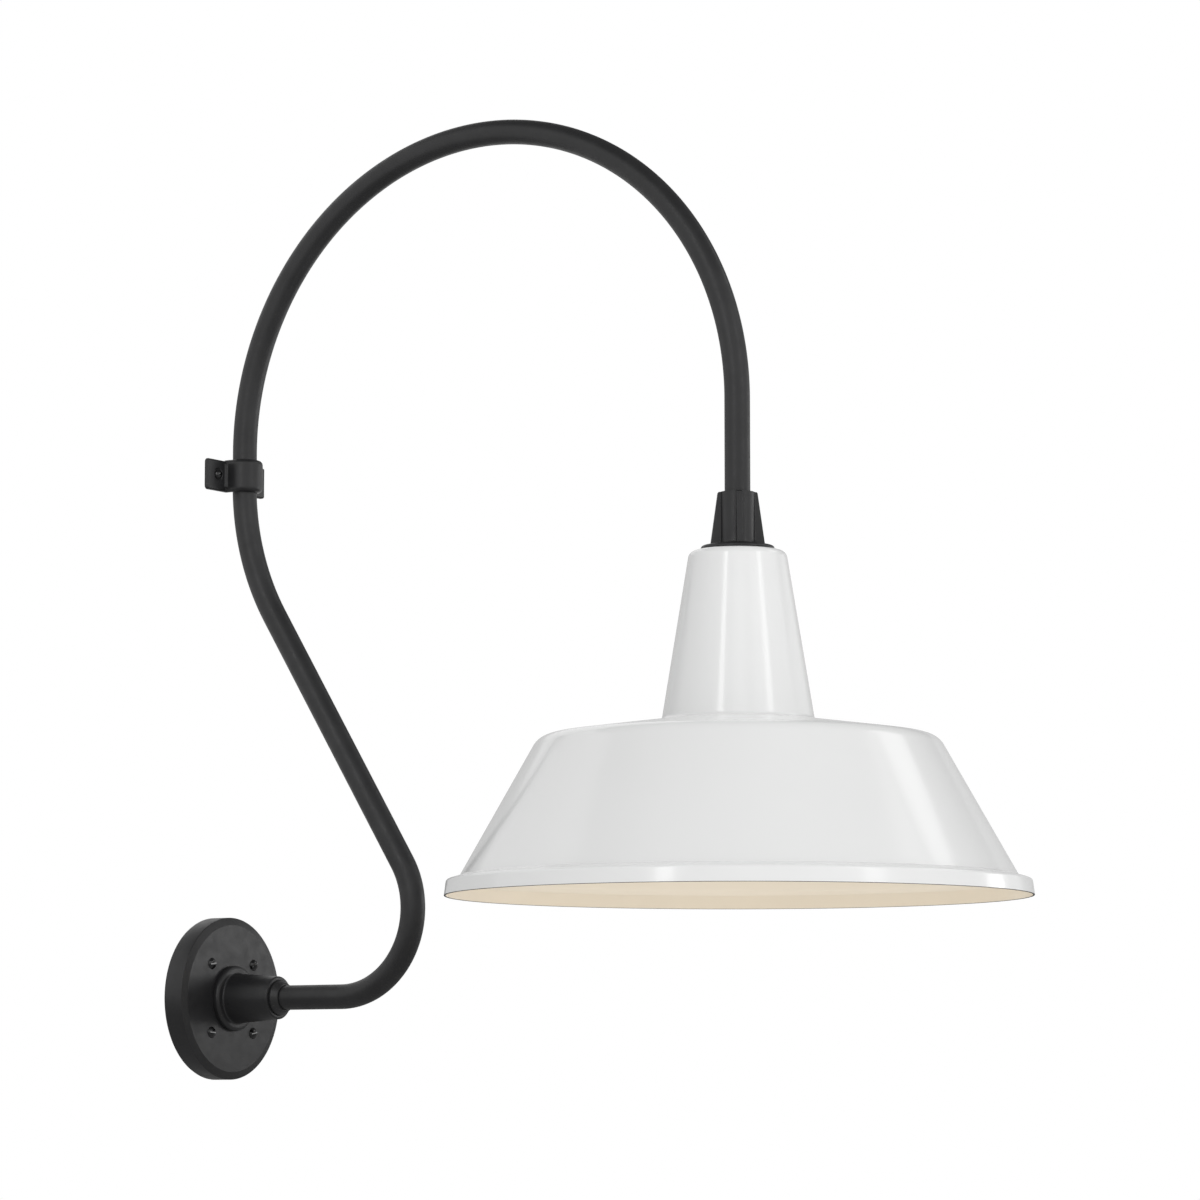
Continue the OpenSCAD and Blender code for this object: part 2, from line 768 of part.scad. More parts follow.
// Two cross-head screws in the strap's ears
module strap_screws() {
    color(charcoal) for (side = [-1, 1])
        translate([side * strap_screw_gap / 2, -(ear_front - spot_depth), strap_z]) outward()
            difference() {
                round_head_screw(strap_head_d, strap_head_h, strap_shank_d,
                                 ear_t - spot_depth, strap_thread_d, strap_screw_len);
                for (turn = [20, 110])
                    intersection() {
                        slot_bar(strap_head_d, strap_head_h, slot_w, slot_depth, turn);
                        cylinder(d = strap_head_d / 2, h = 2 * strap_head_h);
                    }
            }
}

// Cast collar: core with tapered fins on a low round flange
module fitter_collar() {
    core_r = collar_core_d / 2;
    flange_r = flange_d / 2;
    foot_r = collar_foot_d / 2;
    top_r = collar_top_d / 2;
    color(charcoal) on_axis() difference() {
        union() {
            turned(rounded(
                [[0, flange_bottom], [flange_r, flange_bottom],
                 [flange_r - flange_draft, flange_top - flange_crown], [foot_r, flange_top],
                 [0, flange_top]],
                [0, 0, flange_round, 0, 0]));
            translate([0, 0, flange_top - fin_sunk])
                cylinder(r = core_r, h = collar_h + fin_sunk - collar_chamfer / 2);
            intersection() {
                turned(rounded(
                    [[0, flange_top - fin_sunk], [foot_r, flange_top - fin_sunk],
                     [foot_r, flange_top], [top_r, collar_top],
                     [0, collar_top]],
                    [0, 0, 0, collar_chamfer, 0]));
                translate([0, 0, flange_bottom]) for (k = [0 : fin_n - 1])
                    rotate(fin_turn + k * 360 / fin_n) translate([0, -fin_w / 2, 0])
                        cube([foot_r + cut, fin_w, collar_top]);
            }
        }
        translate([0, 0, tube_end])
            cylinder(d = tube_d + 2 * slip, h = collar_socket + cut);
        translate([0, 0, flange_bottom - cut])
            cylinder(d = stem_d + 2 * thread_gap, h = stem_grip + cut);
        translate([0, 0, flange_bottom])
            cylinder(d = stem_bore, h = tube_end - flange_bottom + cut);
        translate([0, 0, collar_screw_z]) rotate(collar_screw_turn) rotate([0, 90, 0])
            cylinder(d = set_screw_d + 2 * thread_gap, h = foot_r + cut);
    }
}

// Set screw in the collar, between two fins on the side of the wall
module collar_set_screw() {
    color(steel) on_axis(collar_screw_z) rotate(collar_screw_turn) rotate([0, 90, 0])
        translate([0, 0, tube_d / 2 + slip]) set_screw(collar_screw_len);
}

// Thin rubber ring between the collar's flange and the top of the shade
module flange_gasket() {
    color(rubber) on_axis(shade_top)
        pipe(flange_d - 2, stem_d + 4 * slip, flange_gasket_t);
}

// Spun shade in one piece: top, neck, roof, skirt, ledge and lip in one wall
module shade() {
    hole_r = stem_d / 2 + slip;
    rim_slope = (shade_d - lip_d) / 2 / lip_h;
    outer = [[hole_r, 0], [neck_top_d / 2, 0], [neck_foot_d / 2, neck_foot_z],
             [roof_d / 2, roof_z], [skirt_d / 2, skirt_z], [lip_d / 2, lip_z],
             [shade_d / 2, rim_z]];
    last = len(outer) - 1;
    rounds = [0, neck_round, neck_fillet, roof_round, skirt_fillet, lip_round, 0];
    // -1 where the inner face has the smaller radius of the corner, 1 where it has the larger
    inner_side = [0, -1, 1, -1, 1, -1, 0];
    inner = [for (i = [0 : last])
        i == 0 ? [hole_r, -shade_t]
        : i == last ? [shade_d / 2 - shade_t * sqrt(1 + rim_slope * rim_slope), rim_z]
        : moved_corner(outer, i, shade_t)];
    color(enamel) on_axis(shade_top)
        turned(concat(rounded(outer, rounds),
                      reversed(rounded(inner, rounds + shade_t * inner_side))));
}

// Hollow threaded stem that carries the shade and the lampholder
module stem() {
    color(steel) on_axis(stem_end)
        pipe(stem_d, stem_bore, flange_bottom + stem_grip - stem_end);
}

// Wide washer under the top of the shade
module shade_washer() {
    color(steel) on_axis(washer_bottom)
        pipe(shade_washer_d, stem_d + 2 * slip, shade_washer_t);
}

// Nut that clamps the shade against the collar
module shade_lock_nut() {
    color(steel) on_axis(shade_nut_bottom)
        nut(shade_nut_w, stem_d + 2 * thread_gap, shade_nut_t);
}

// Nut that locks the bracket on the stem
module bracket_lock_nut() {
    color(steel) on_axis(bracket_top)
        nut(bracket_nut_w, stem_d + 2 * thread_gap, bracket_nut_t);
}

// Bent steel bridge with two feet on the lampholder, trimmed to the lampholder's round top
module holder_bracket() {
    leg_out = bracket_span / 2;
    leg_in = leg_out - bracket_t;
    foot_out = holder_d / 2;
    half = [[leg_out, bracket_h], [leg_out, bracket_t], [foot_out, bracket_t], [foot_out, 0],
            [leg_in, 0], [leg_in, bracket_h - bracket_t]];
    color(steel) on_axis(holder_top) difference() {
        intersection() {
            rotate([90, 0, 0]) translate([0, 0, -bracket_w / 2])
                linear_extrude(height = bracket_w)
                    polygon(concat(half, [for (p = reversed(half)) [-p[0], p[1]]]));
            translate([0, 0, -cut]) cylinder(d = holder_d - 2 * holder_chamfer,
                                             h = bracket_h + 2 * cut);
        }
        cylinder(d = stem_d + 2 * thread_gap, h = bracket_h + cut);
        for (side = [-1, 1]) translate([side * holder_screw_gap / 2, 0, -cut])
            cylinder(d = small_shank_d + 2 * slip, h = bracket_t + 2 * cut);
    }
}

// Two screws that hold the lampholder to its bracket
module holder_screws() {
    color(steel) for (side = [-1, 1])
        on_axis(holder_top + bracket_t) translate([side * holder_screw_gap / 2, 0, 0])
            slotted_screw(holder_head_d, small_head_h, small_shank_d, holder_screw_len, 90);
}

// Glazed porcelain lampholder with its socket, screw holes and terminal seats
module lampholder() {
    body_r = holder_d / 2;
    bead_r = holder_bead_d / 2;
    color([0.95, 0.94, 0.9]) on_axis() difference() {
        turned(rounded(
            [[0, holder_mouth], [bead_r, holder_mouth], [bead_r, holder_mouth + holder_bead_h],
             [body_r, holder_mouth + holder_bead_h + bead_slope], [body_r, holder_top],
             [0, holder_top]],
            [0, holder_chamfer, holder_chamfer, 0, holder_chamfer, 0]));
        translate([0, 0, holder_mouth - cut])
            cylinder(d = shell_out_d + 2 * slip, h = holder_socket + cut);
        for (side = [-1, 1]) {
            translate([side * holder_screw_gap / 2, 0, holder_top - holder_screw_len])
                cylinder(d = small_shank_d + 2 * thread_gap, h = holder_screw_len + cut);
            translate([side * terminal_x, -side * terminal_y, holder_top - terminal_screw_len])
                cylinder(d = small_shank_d + 2 * thread_gap, h = terminal_screw_len + cut);
        }
    }
}

// Brass shell that takes the bulb's cap
module screw_shell() {
    color(brass) on_axis(socket_floor - shell_h) pipe(shell_out_d, shell_in_d, shell_h);
}

// Domed brass spring in the floor of the socket
module centre_contact() {
    color(brass) on_axis(socket_floor) mirror([0, 0, 1])
        round_head(contact_spring_d, contact_spring_h);
}

// Two brass plates under the terminal screws
module terminal_plates() {
    color(brass) on_axis(holder_top) for (side = [-1, 1])
        translate([side * (terminal_x + lead_off) / 2, -side * terminal_y, 0])
            difference() {
                translate([-terminal_w / 2, -terminal_len / 2, 0])
                    cube([terminal_w, terminal_len, terminal_t]);
                translate([side * (terminal_x - lead_off) / 2, 0, -cut])
                    cylinder(d = small_shank_d + 2 * slip, h = terminal_t + 2 * cut);
            }
}

// Two screws that clamp the leads' bare ends
module terminal_screws() {
    color(brass) for (side = [-1, 1])
        on_axis(terminal_head_z) translate([side * terminal_x, -side * terminal_y, 0])
            slotted_screw(small_head_d, small_head_h, small_shank_d,
                          terminal_head_z - holder_top + terminal_screw_len, 40 * side);
}

// One lead: from the bushing, through the hub, tube and stem, to its terminal
module lead(side) {
    bend_z = lead_z + lead_bend;
    translate([side * lead_off, 0, 0]) {
        arm_course(lead_d, 0, lead_tail, bend_z);
        translate([0, -axis_out, 0]) rotate(side > 0 ? 180 : 0) {
            translate([0, lead_bend, bend_z]) rotate([0, 90, 0]) rotate(-90)
                rotate_extrude(angle = 90) translate([lead_bend, 0]) circle(d = lead_d);
            translate([0, lead_bend, lead_z]) rotate([-90, 0, 0])
                cylinder(d = lead_d + course_step, h = lead_strip - lead_bend);
            translate([0, lead_strip - lead_d, lead_z]) rotate([-90, 0, 0])
                cylinder(d = copper_d, h = terminal_y + copper_past - lead_strip + lead_d);
        }
    }
}

// Black lead, to the centre contact's terminal
module live_lead() {
    color([0.05, 0.05, 0.05]) lead(-1);
}

// White lead, to the screw shell's terminal
module neutral_lead() {
    color([0.9, 0.9, 0.9]) lead(1);
}

// Plastic bushing in the rear end of the hub's shank
module wire_bushing() {
    color([0.15, 0.15, 0.15]) outward() difference() {
        union() {
            translate([0, 0, hub_shank_end - bushing_t]) cylinder(d = bushing_d, h = bushing_t);
            translate([0, 0, hub_shank_end - bushing_t])
                cylinder(d = hub_passage_d - 2 * slip, h = bushing_t + bushing_plug);
        }
        for (side = [-1, 1]) translate([side * lead_off, 0, hub_shank_end - bushing_t - cut])
            cylinder(d = lead_d + 2 * lead_gap, h = bushing_t + bushing_plug + 2 * cut);
    }
}

// Screw for the earthing lead, in its boss inside the backplate
module earth_screw() {
    color([0.2, 0.5, 0.25]) outward()
        translate([0, -earth_drop, earth_head_out]) rotate([180, 0, 0])
            slotted_screw(earth_head_d, small_head_h, earth_shank_d,
                          plate_inside - earth_boss_h - earth_head_out
                              + earth_hole_depth - earth_tip_gap, 0);
}

// Short earthing lead, bare under its screw and bent back towards the wall
module earth_lead() {
    bare_out = plate_inside - earth_boss_h - thread_gap - copper_d / 2;
    strip_z = -earth_drop - earth_boss_d / 2 - earth_strip;
    turn_z = strip_z - earth_run;
    color([0.2, 0.5, 0.25]) translate([(earth_shank_d + copper_d) / 2 + thread_gap, 0, 0]) {
        translate([0, -bare_out, strip_z - lead_d])
            cylinder(d = copper_d, h = copper_past - earth_drop - strip_z + lead_d);
        translate([0, -bare_out, turn_z])
            cylinder(d = lead_d + course_step, h = strip_z - turn_z);
        translate([0, -bare_out + lead_bend, turn_z]) rotate([0, 90, 0]) rotate(-90)
            rotate_extrude(angle = 90) translate([lead_bend, 0]) circle(d = lead_d);
        translate([0, -bare_out + lead_bend, turn_z - lead_bend]) rotate([-90, 0, 0])
            cylinder(d = lead_d + course_step, h = bare_out - lead_bend - lead_tail);
    }
}

// Thin metal cap of the bulb, open at the bottom for the neck of the glass
module bulb_cap() {
    color(steel) on_axis(cap_bottom) difference() {
        cylinder(d = cap_d, h = cap_h);
        translate([0, 0, -cut])
            cylinder(d = bulb_neck_d + 2 * thread_gap, h = cap_h - cap_crown + cut);
    }
}

// Dark glass cone between the cap and the contact
module bulb_insulator() {
    color([0.06, 0.06, 0.07]) on_axis(cap_top)
        cylinder(d1 = cap_d - 2 * insulator_inset, d2 = contact_d + 2 * insulator_lip,
                 h = insulator_h);
}

// Button that the centre contact presses on
module bulb_contact() {
    color(steel) on_axis(cap_top + insulator_h) round_head(contact_d, contact_h);
}

// Blown glass of the bulb: a ball drawn up into a neck, with one open end in the cap
module bulb_glass() {
    ball_r = bulb_d / 2;
    neck_r = bulb_neck_d / 2;
    ball_z = bulb_tip + ball_r;
    glass_top = cap_bottom + cap_glass;
    color([0.97, 0.97, 0.95]) on_axis() turned(concat(
        glass_side(ball_r, neck_r, ball_z, glass_top, glass_neck_r),
        reversed(glass_side(ball_r - glass_t, neck_r - glass_t, ball_z, glass_top,
                            glass_neck_r + glass_t))));
}

// One face of the bulb's glass, from its lowest point up to the open end of its neck
function glass_side(ball_r, neck_r, ball_z, top, fillet) =
    let (
        ball = [for (a = [-90 : ball_step : ball_end]) [ball_r * cos(a), ball_z + ball_r * sin(a)]],
        leave = ball[len(ball) - 1],
        corner = [neck_r, leave[1] + (leave[0] - neck_r) / tan(ball_end)],
        neck = [leave, corner, [neck_r, top]]
    )
    concat(ball, corner_arc(neck, 1, fillet), [[neck_r, top]]);

backplate();
wall_gasket();
cover_screws();
hub();
hub_washer();
hub_lock_nut();
gland_ring();
hub_set_screw();
arm_tube();
wall_strap();
strap_screws();
fitter_collar();
collar_set_screw();
flange_gasket();
shade();
stem();
shade_washer();
shade_lock_nut();
bracket_lock_nut();
holder_bracket();
holder_screws();
lampholder();
screw_shell();
centre_contact();
terminal_plates();
terminal_screws();
live_lead();
neutral_lead();
wire_bushing();
earth_screw();
earth_lead();
bulb_cap();
bulb_insulator();
bulb_contact();
bulb_glass();
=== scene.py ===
import math
import bmesh
import bpy
from mathutils import Euler, Matrix, Vector


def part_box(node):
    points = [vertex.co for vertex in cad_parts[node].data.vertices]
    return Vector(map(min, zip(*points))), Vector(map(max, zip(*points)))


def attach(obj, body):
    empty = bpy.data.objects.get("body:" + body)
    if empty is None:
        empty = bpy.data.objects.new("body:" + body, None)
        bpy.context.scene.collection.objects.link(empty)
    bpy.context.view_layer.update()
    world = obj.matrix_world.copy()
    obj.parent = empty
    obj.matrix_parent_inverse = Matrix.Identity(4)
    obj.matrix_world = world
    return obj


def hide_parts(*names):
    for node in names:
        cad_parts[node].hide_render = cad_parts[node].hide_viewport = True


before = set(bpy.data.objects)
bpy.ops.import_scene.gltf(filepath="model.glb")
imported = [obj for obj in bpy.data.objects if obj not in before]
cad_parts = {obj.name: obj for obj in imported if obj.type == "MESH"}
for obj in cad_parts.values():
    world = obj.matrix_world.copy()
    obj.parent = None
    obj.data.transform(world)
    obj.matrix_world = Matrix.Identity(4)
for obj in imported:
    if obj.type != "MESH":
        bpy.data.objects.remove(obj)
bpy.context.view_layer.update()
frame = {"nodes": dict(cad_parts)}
NODES = frame["nodes"]
MM = 0.001
TURN = 2 * math.pi


def edge(node, axis, side):
    """Lowest (0) or highest (1) coordinate of a CAD node along an axis, in mm."""
    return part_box(node)[side][axis] / MM


# Sizes in millimetres. "Out" is the distance in front of the wall, towards -Y.
SLIP, THREAD_GAP = 0.15, 0.05
WASHER_T, BRACKET_T = 1.5, 1.5

# Backplate and its screws, whose turns are the place round the circle and the way the slot points
PLATE_REAR = -edge("wall_gasket", 1, 0)
PLATE_DEPTH = 20.5
PLATE_FRONT = PLATE_REAR + PLATE_DEPTH
PLATE_R, PLATE_WALL, BEVEL_W, BEVEL_D = 74.5, 4.5, 7.0, 2.2
PLATE_INSIDE = PLATE_FRONT - PLATE_WALL
SCREW_CIRCLE_R, BOSS_R = 44.45, 6.0
SCREW_TURNS = [(45, 28), (135, 8), (225, 174), (315, 12)]
SCREW_SHANK_R, SCREW_THREAD_R, SCREW_TIP = 2.65, 2.4, 0.8
SCREW_GROOVE, SCREW_PITCH = 0.35, 0.8
SCREW_EMBEDDED = 12.0
EARTH_DROP, EARTH_BOSS_H, EARTH_BOSS_R = 30.0, 3.0, 4.5
EARTH_SCREW_R, EARTH_HOLE_R = 1.9, 1.95

# Hub and gland ring
HUB_FOOT_R, HUB_FOOT_T, HUB_ROOT_R, HUB_NOSE_R = 30.0, 6.0, 22.9, 19.6
HUB_LENGTH = 53.5
HUB_NOSE = PLATE_FRONT + HUB_LENGTH
HUB_END = PLATE_INSIDE - 10.0
HUB_SHANK_R, HUB_PASSAGE_R, HUB_NUT_T = 10.65, 7.65, 5.5
SOCKET_END = HUB_NOSE - 37.5
SET_SCREW_R, SET_SCREW_HOLE_R = 3.0, 3.05
GLAND_BOTTOM, GLAND_TOP, GLAND_R = HUB_NOSE - 5.5, HUB_NOSE + 7.5, 16.0

# Course of the arm in its plane, as (out, z): low bend, leaning stretch, middle bend, riser, crook
TUBE_R, TUBE_WALL, TUBE_SIDES = 11.2, 1.6, 96
BEND_OUT, LOW_R, LEAN, LEAN_LEN = 146.0, 78.5, math.radians(32.1), 274.0
MID_R, RISER, RISE_R, DROP_R = 237.0, 30.0, 271.0, 265.5
LOW_END = Vector((BEND_OUT + LOW_R * math.cos(LEAN), LOW_R + LOW_R * math.sin(LEAN)))
LEAN_END = LOW_END + LEAN_LEN * Vector((-math.sin(LEAN), math.cos(LEAN)))
MID_C = LEAN_END + MID_R * Vector((math.cos(LEAN), math.sin(LEAN)))
RISER_FOOT = MID_C - Vector((MID_R, 0))
RISE_C = RISER_FOOT + Vector((RISE_R, RISER))
DROP_C = RISE_C + Vector((0, RISE_R - DROP_R))
DROP_START = DROP_C + Vector((DROP_R, 0))
AXIS = DROP_START.x

# Collar and stem
COLLAR_TOP = edge("fitter_collar", 2, 1)
FLANGE_BOTTOM = edge("fitter_collar", 2, 0)
COLLAR_H, COLLAR_TOP_R, COLLAR_FOOT_R, COLLAR_CORE_R = 45.9, 17.4, 23.8, 15.1
FLANGE_R, FLANGE_T, FLANGE_CROWN, FLANGE_ROUND = 32.2, 4.4, 1.5, 2.4
FIN_COUNT, FIN_W, FIN_TURN = 4, 5.4, 36.5
TUBE_END = COLLAR_TOP - 30.0
STEM_R, STEM_BORE_R, STEM_GRIP = 8.55, 6.3, 15.0
STEM_END = edge("stem", 2, 0)

# Shade, lampholder and bulb
SHADE_TOP = edge("shade", 2, 1)
SHADE_T, SHADE_SIDES = 1.6, 288
HOLDER_TOP = edge("lampholder", 2, 1)
HOLDER_MOUTH = edge("lampholder", 2, 0)
HOLDER_R, HOLDER_BEAD_R, HOLDER_SCREW_OUT = 22.0, 23.5, 16.5
SOCKET_FLOOR = HOLDER_MOUTH + 26.0
TERMINAL = Vector((6.35, 15.0))
EDISON_PITCH = 3.63
CAP_BOTTOM = edge("bulb_cap", 2, 0)
CAP_TOP = edge("bulb_cap", 2, 1)
BULB_TIP = edge("bulb_glass", 2, 0)

# Leads, with their bare ends
LEAD_R, COPPER_R, LEAD_OFF, LEAD_BEND = 1.4, 0.8, 4.0, 5.0
LEAD_TAIL, LEAD_STRIP, COPPER_LAP, COPPER_END = 8.0, 10.5, 2.0, 2.0
BEND_STEPS = 10
LEAD_Z = HOLDER_TOP + 2.05
TERMINAL_SEAT = LEAD_Z + 0.85

# Frames whose Z is the shade's axis, pointing up, and the backplate's axis, pointing out
UP = Matrix.Translation((0, -AXIS, 0))
OUT = Matrix.Rotation(math.radians(90), 4, "X")


# Materials
class Mat:
    """A node material with short helpers."""

    def __init__(self, name, **sockets):
        self.material = bpy.data.materials.new(name)
        self.material.use_nodes = True
        self.tree = self.material.node_tree
        self.bsdf = self.tree.nodes["Principled BSDF"]
        self.coord = self.node("ShaderNodeTexCoord")
        for key, value in sockets.items():
            self.bsdf.inputs[key.replace("_", " ")].default_value = value

    def node(self, kind):
        return self.tree.nodes.new(kind)

    def link(self, a, b):
        self.tree.links.new(a, b)

    def noise(self, scale, detail=3.0, rough=0.55):
        n = self.node("ShaderNodeTexNoise")
        n.inputs["Scale"].default_value = scale
        n.inputs["Detail"].default_value = detail
        n.inputs["Roughness"].default_value = rough
        self.link(self.coord.outputs["Object"], n.inputs["Vector"])
        return n.outputs["Fac"]

    def remap(self, value, low, high, from_low=0.3, from_high=0.7):
        r = self.node("ShaderNodeMapRange")
        r.inputs["From Min"].default_value = from_low
        r.inputs["From Max"].default_value = from_high
        r.inputs["To Min"].default_value = low
        r.inputs["To Max"].default_value = high
        self.link(value, r.inputs["Value"])
        return r.outputs["Result"]

    def ramp(self, value, c0, c1, p0=0.35, p1=0.65):
        r = self.node("ShaderNodeValToRGB")
        r.color_ramp.elements[0].position = p0
        r.color_ramp.elements[1].position = p1
        r.color_ramp.elements[0].color = (*c0, 1)
        r.color_ramp.elements[1].color = (*c1, 1)
        self.link(value, r.inputs["Fac"])
        return r.outputs["Color"]

    def color(self, out):
        self.link(out, self.bsdf.inputs["Base Color"])

    def roughness(self, out):
        self.link(out, self.bsdf.inputs["Roughness"])

    def bump(self, value, strength, distance_mm, after=None):
        b = self.node("ShaderNodeBump")
        b.inputs["Strength"].default_value = strength
        b.inputs["Distance"].default_value = distance_mm * MM
        self.link(value, b.inputs["Height"])
        if after is not None:
            self.link(after, b.inputs["Normal"])
        self.link(b.outputs["Normal"], self.bsdf.inputs["Normal"])
        return b.outputs["Normal"]


def shade_of(colour, factor):
    return tuple(min(1.0, part * factor) for part in colour)


def enamel(name, colour, rough, ripple):
    m = Mat(name, Coat_Weight=0.15, Coat_Roughness=0.06, IOR=1.5)
    m.color(m.ramp(m.noise(9, 2), shade_of(colour, 0.988), shade_of(colour, 1.01), 0.2, 0.8))
    m.roughness(m.remap(m.noise(35, 2), rough * 0.9, rough * 1.12, 0.2, 0.8))
    peel = m.bump(m.noise(320, 2), ripple, 0.05)
    m.bump(m.noise(45, 1), ripple * 0.6, 0.12, peel)
    return m.material


def powder(name, colour, rough, grain, gloss=0.42):
    m = Mat(name, IOR=1.5, Specular_IOR_Level=gloss)
    m.color(m.ramp(m.noise(40, 3), shade_of(colour, 0.86), shade_of(colour, 1.12)))
    m.roughness(m.remap(m.noise(110, 3), rough * 0.88, rough * 1.12))
    grit = m.bump(m.noise(1500, 2), grain * 0.5, 0.03)
    m.bump(m.noise(420, 2), grain, 0.06, grit)
    return m.material


def metal(name, colour, rough):
    m = Mat(name, Metallic=1.0)
    m.color(m.ramp(m.noise(260, 3), shade_of(colour, 0.9), shade_of(colour, 1.05)))
    m.roughness(m.remap(m.noise(500, 3), rough * 0.8, rough * 1.25))
    m.bump(m.noise(1400, 2), 0.12, 0.02)
    return m.material


def plain(name, colour, rough, bump_scale, bump=0.2, vary=0.09, **sockets):
    m = Mat(name, **sockets)
    m.color(m.ramp(m.noise(bump_scale * 0.2, 3), shade_of(colour, 1 - vary),
                   shade_of(colour, 1 + vary), 0.2, 0.8))
    m.roughness(m.remap(m.noise(bump_scale * 0.4, 3), rough * (1 - vary), rough * (1 + vary)))
    m.bump(m.noise(bump_scale, 2), bump, 0.04)
    return m.material


WHITE = enamel("enamel_white", (0.80, 0.803, 0.80), 0.17, 0.1)
CREAM = enamel("enamel_cream", (0.885, 0.80, 0.665), 0.4, 0.015)
CUT = metal("cut_edge", (0.07, 0.068, 0.066), 0.5)
BLACK = powder("black_powder", (0.014, 0.014, 0.0148), 0.44, 0.16)
BLACK_CAST = powder("black_cast", (0.0122, 0.0122, 0.013), 0.4, 0.3)
BLACK_STEEL = powder("black_steel", (0.005, 0.005, 0.0055), 0.09, 0.03, gloss=0.6)
ZINC = metal("zinc", (0.60, 0.61, 0.63), 0.34)
BRASS = metal("brass", (0.72, 0.52, 0.22), 0.28)
COPPER = metal("copper", (0.83, 0.42, 0.26), 0.3)
CAP_METAL = metal("cap_metal", (0.74, 0.74, 0.73), 0.25)
RUBBER = plain("rubber", (0.022, 0.022, 0.023), 0.72, 900)
PORCELAIN = plain("porcelain", (0.80, 0.78, 0.72), 0.14, 60, 0.08, 0.02, Coat_Weight=0.4)
WIRE_BLACK = plain("wire_black", (0.02, 0.02, 0.021), 0.42, 700, 0.1)
WIRE_WHITE = plain("wire_white", (0.74, 0.73, 0.70), 0.42, 700, 0.1)
WIRE_GREEN = plain("wire_green", (0.03, 0.22, 0.06), 0.42, 700, 0.1)
GREEN_STEEL = metal("green_zinc", (0.08, 0.32, 0.12), 0.36)
PLASTIC = plain("bushing_plastic", (0.03, 0.03, 0.03), 0.5, 800, 0.15)
BLACK_GLASS = plain("cap_insulator", (0.012, 0.012, 0.018), 0.12, 200, 0.05)
FROST = plain("frosted_glass", (0.86, 0.855, 0.83), 0.34, 900, 0.05, 0.012,
              Transmission_Weight=0.3, IOR=1.45)

FINISHES = {
    "backplate": BLACK_CAST, "wall_gasket": RUBBER, "cover_screws": BLACK_STEEL,
    "hub": BLACK_CAST, "hub_washer": ZINC, "hub_lock_nut": ZINC, "gland_ring": BLACK,
    "hub_set_screw": BLACK_STEEL, "arm_tube": BLACK, "wall_strap": BLACK_CAST,
    "strap_screws": BLACK_STEEL, "fitter_collar": BLACK_CAST, "collar_set_screw": BLACK_STEEL,
    "flange_gasket": RUBBER, "shade": WHITE, "stem": ZINC, "shade_washer": ZINC,
    "shade_lock_nut": ZINC, "bracket_lock_nut": ZINC, "holder_bracket": ZINC,
    "holder_screws": ZINC, "lampholder": PORCELAIN, "screw_shell": BRASS,
    "centre_contact": BRASS, "terminal_plates": BRASS, "terminal_screws": BRASS,
    "live_lead": WIRE_BLACK, "neutral_lead": WIRE_WHITE, "wire_bushing": PLASTIC,
    "earth_screw": GREEN_STEEL, "earth_lead": WIRE_GREEN, "bulb_cap": CAP_METAL,
    "bulb_insulator": BLACK_GLASS, "bulb_contact": CAP_METAL, "bulb_glass": FROST,
}


def finish_cad_nodes():
    for node, material in FINISHES.items():
        mesh = NODES[node].data
        mesh.materials.clear()
        mesh.materials.append(material)
        for polygon in mesh.polygons:
            polygon.material_index = 0


# Mesh helpers
def mark_smooth(mesh, angle=35):
    for p in mesh.polygons:
        p.use_smooth = True
    mesh.set_sharp_from_angle(angle=math.radians(angle))


def new_object(name, bm, mats, smooth=True, angle=35):
    mesh = bpy.data.meshes.new(name)
    bm.normal_update()
    bm.to_mesh(mesh)
    bm.free()
    obj = bpy.data.objects.new(name, mesh)
    bpy.context.scene.collection.objects.link(obj)
    for m in mats:
        mesh.materials.append(m)
    if smooth:
        mark_smooth(mesh, angle)
    return obj


def finish_piece(obj, body, slot, *nodes):
    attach(obj, body)
    if nodes:
        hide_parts(*nodes)
    return obj


def apply_modifiers(obj, angle=35):
    deps = bpy.context.evaluated_depsgraph_get()
    mesh = bpy.data.meshes.new_from_object(obj.evaluated_get(deps))
    obj.modifiers.clear()
    old = obj.data
    obj.data = mesh
    bpy.data.meshes.remove(old)
    mark_smooth(obj.data, angle)


def carve(obj, cutters, angle=35):
    """Applies (operation, cutter mesh) pairs to an object with exact booleans."""
    spent = []
    for operation, bm in cutters:
        cutter = new_object("cutter", bm, [], smooth=False)
        mod = obj.modifiers.new("carve", "BOOLEAN")
        mod.operation = operation
        mod.solver = "EXACT"
        mod.object = cutter
        spent.append(cutter)
    apply_modifiers(obj, angle)
    for cutter in spent:
        mesh = cutter.data
        bpy.data.objects.remove(cutter)
        bpy.data.meshes.remove(mesh)


def corner_arc(a, p, b, r, steps):
    """Points of an arc of radius r at corner p between a and b."""
    back, ahead = (a - p).normalized(), (b - p).normalized()
    half = math.acos(max(-1, min(1, back.dot(ahead)))) / 2
    c = p + (back + ahead).normalized() * r / math.sin(half)
    first = p + back * r / math.tan(half) - c
    start = math.atan2(first.y, first.x)
    cross = -back.x * ahead.y + back.y * ahead.x
    sweep = math.copysign(math.pi - 2 * half, cross)
    return [c + r * Vector((math.cos(start + sweep * k / steps), math.sin(start + sweep * k / steps)))
            for k in range(steps + 1)]


def rounded(points, radii, steps=8):
    """A closed outline with each corner rounded by its own radius, where 0 keeps it sharp."""
    pts = [Vector(p) for p in points]
    out = []
    for i, p in enumerate(pts):
        if radii[i] == 0:
            out.append(p)
        else:
            out += corner_arc(pts[i - 1], p, pts[(i + 1) % len(pts)], radii[i], steps)
    return out


def fine(points, step):
    """A closed outline with extra points, so that none are more than step apart."""
    out = []
    for i, p in enumerate(points):
        a, b = Vector(p), Vector(points[(i + 1) % len(points)])
        n = max(1, math.ceil((b - a).length / step))
        out += [a + (b - a) * k / n for k in range(n)]
    return out


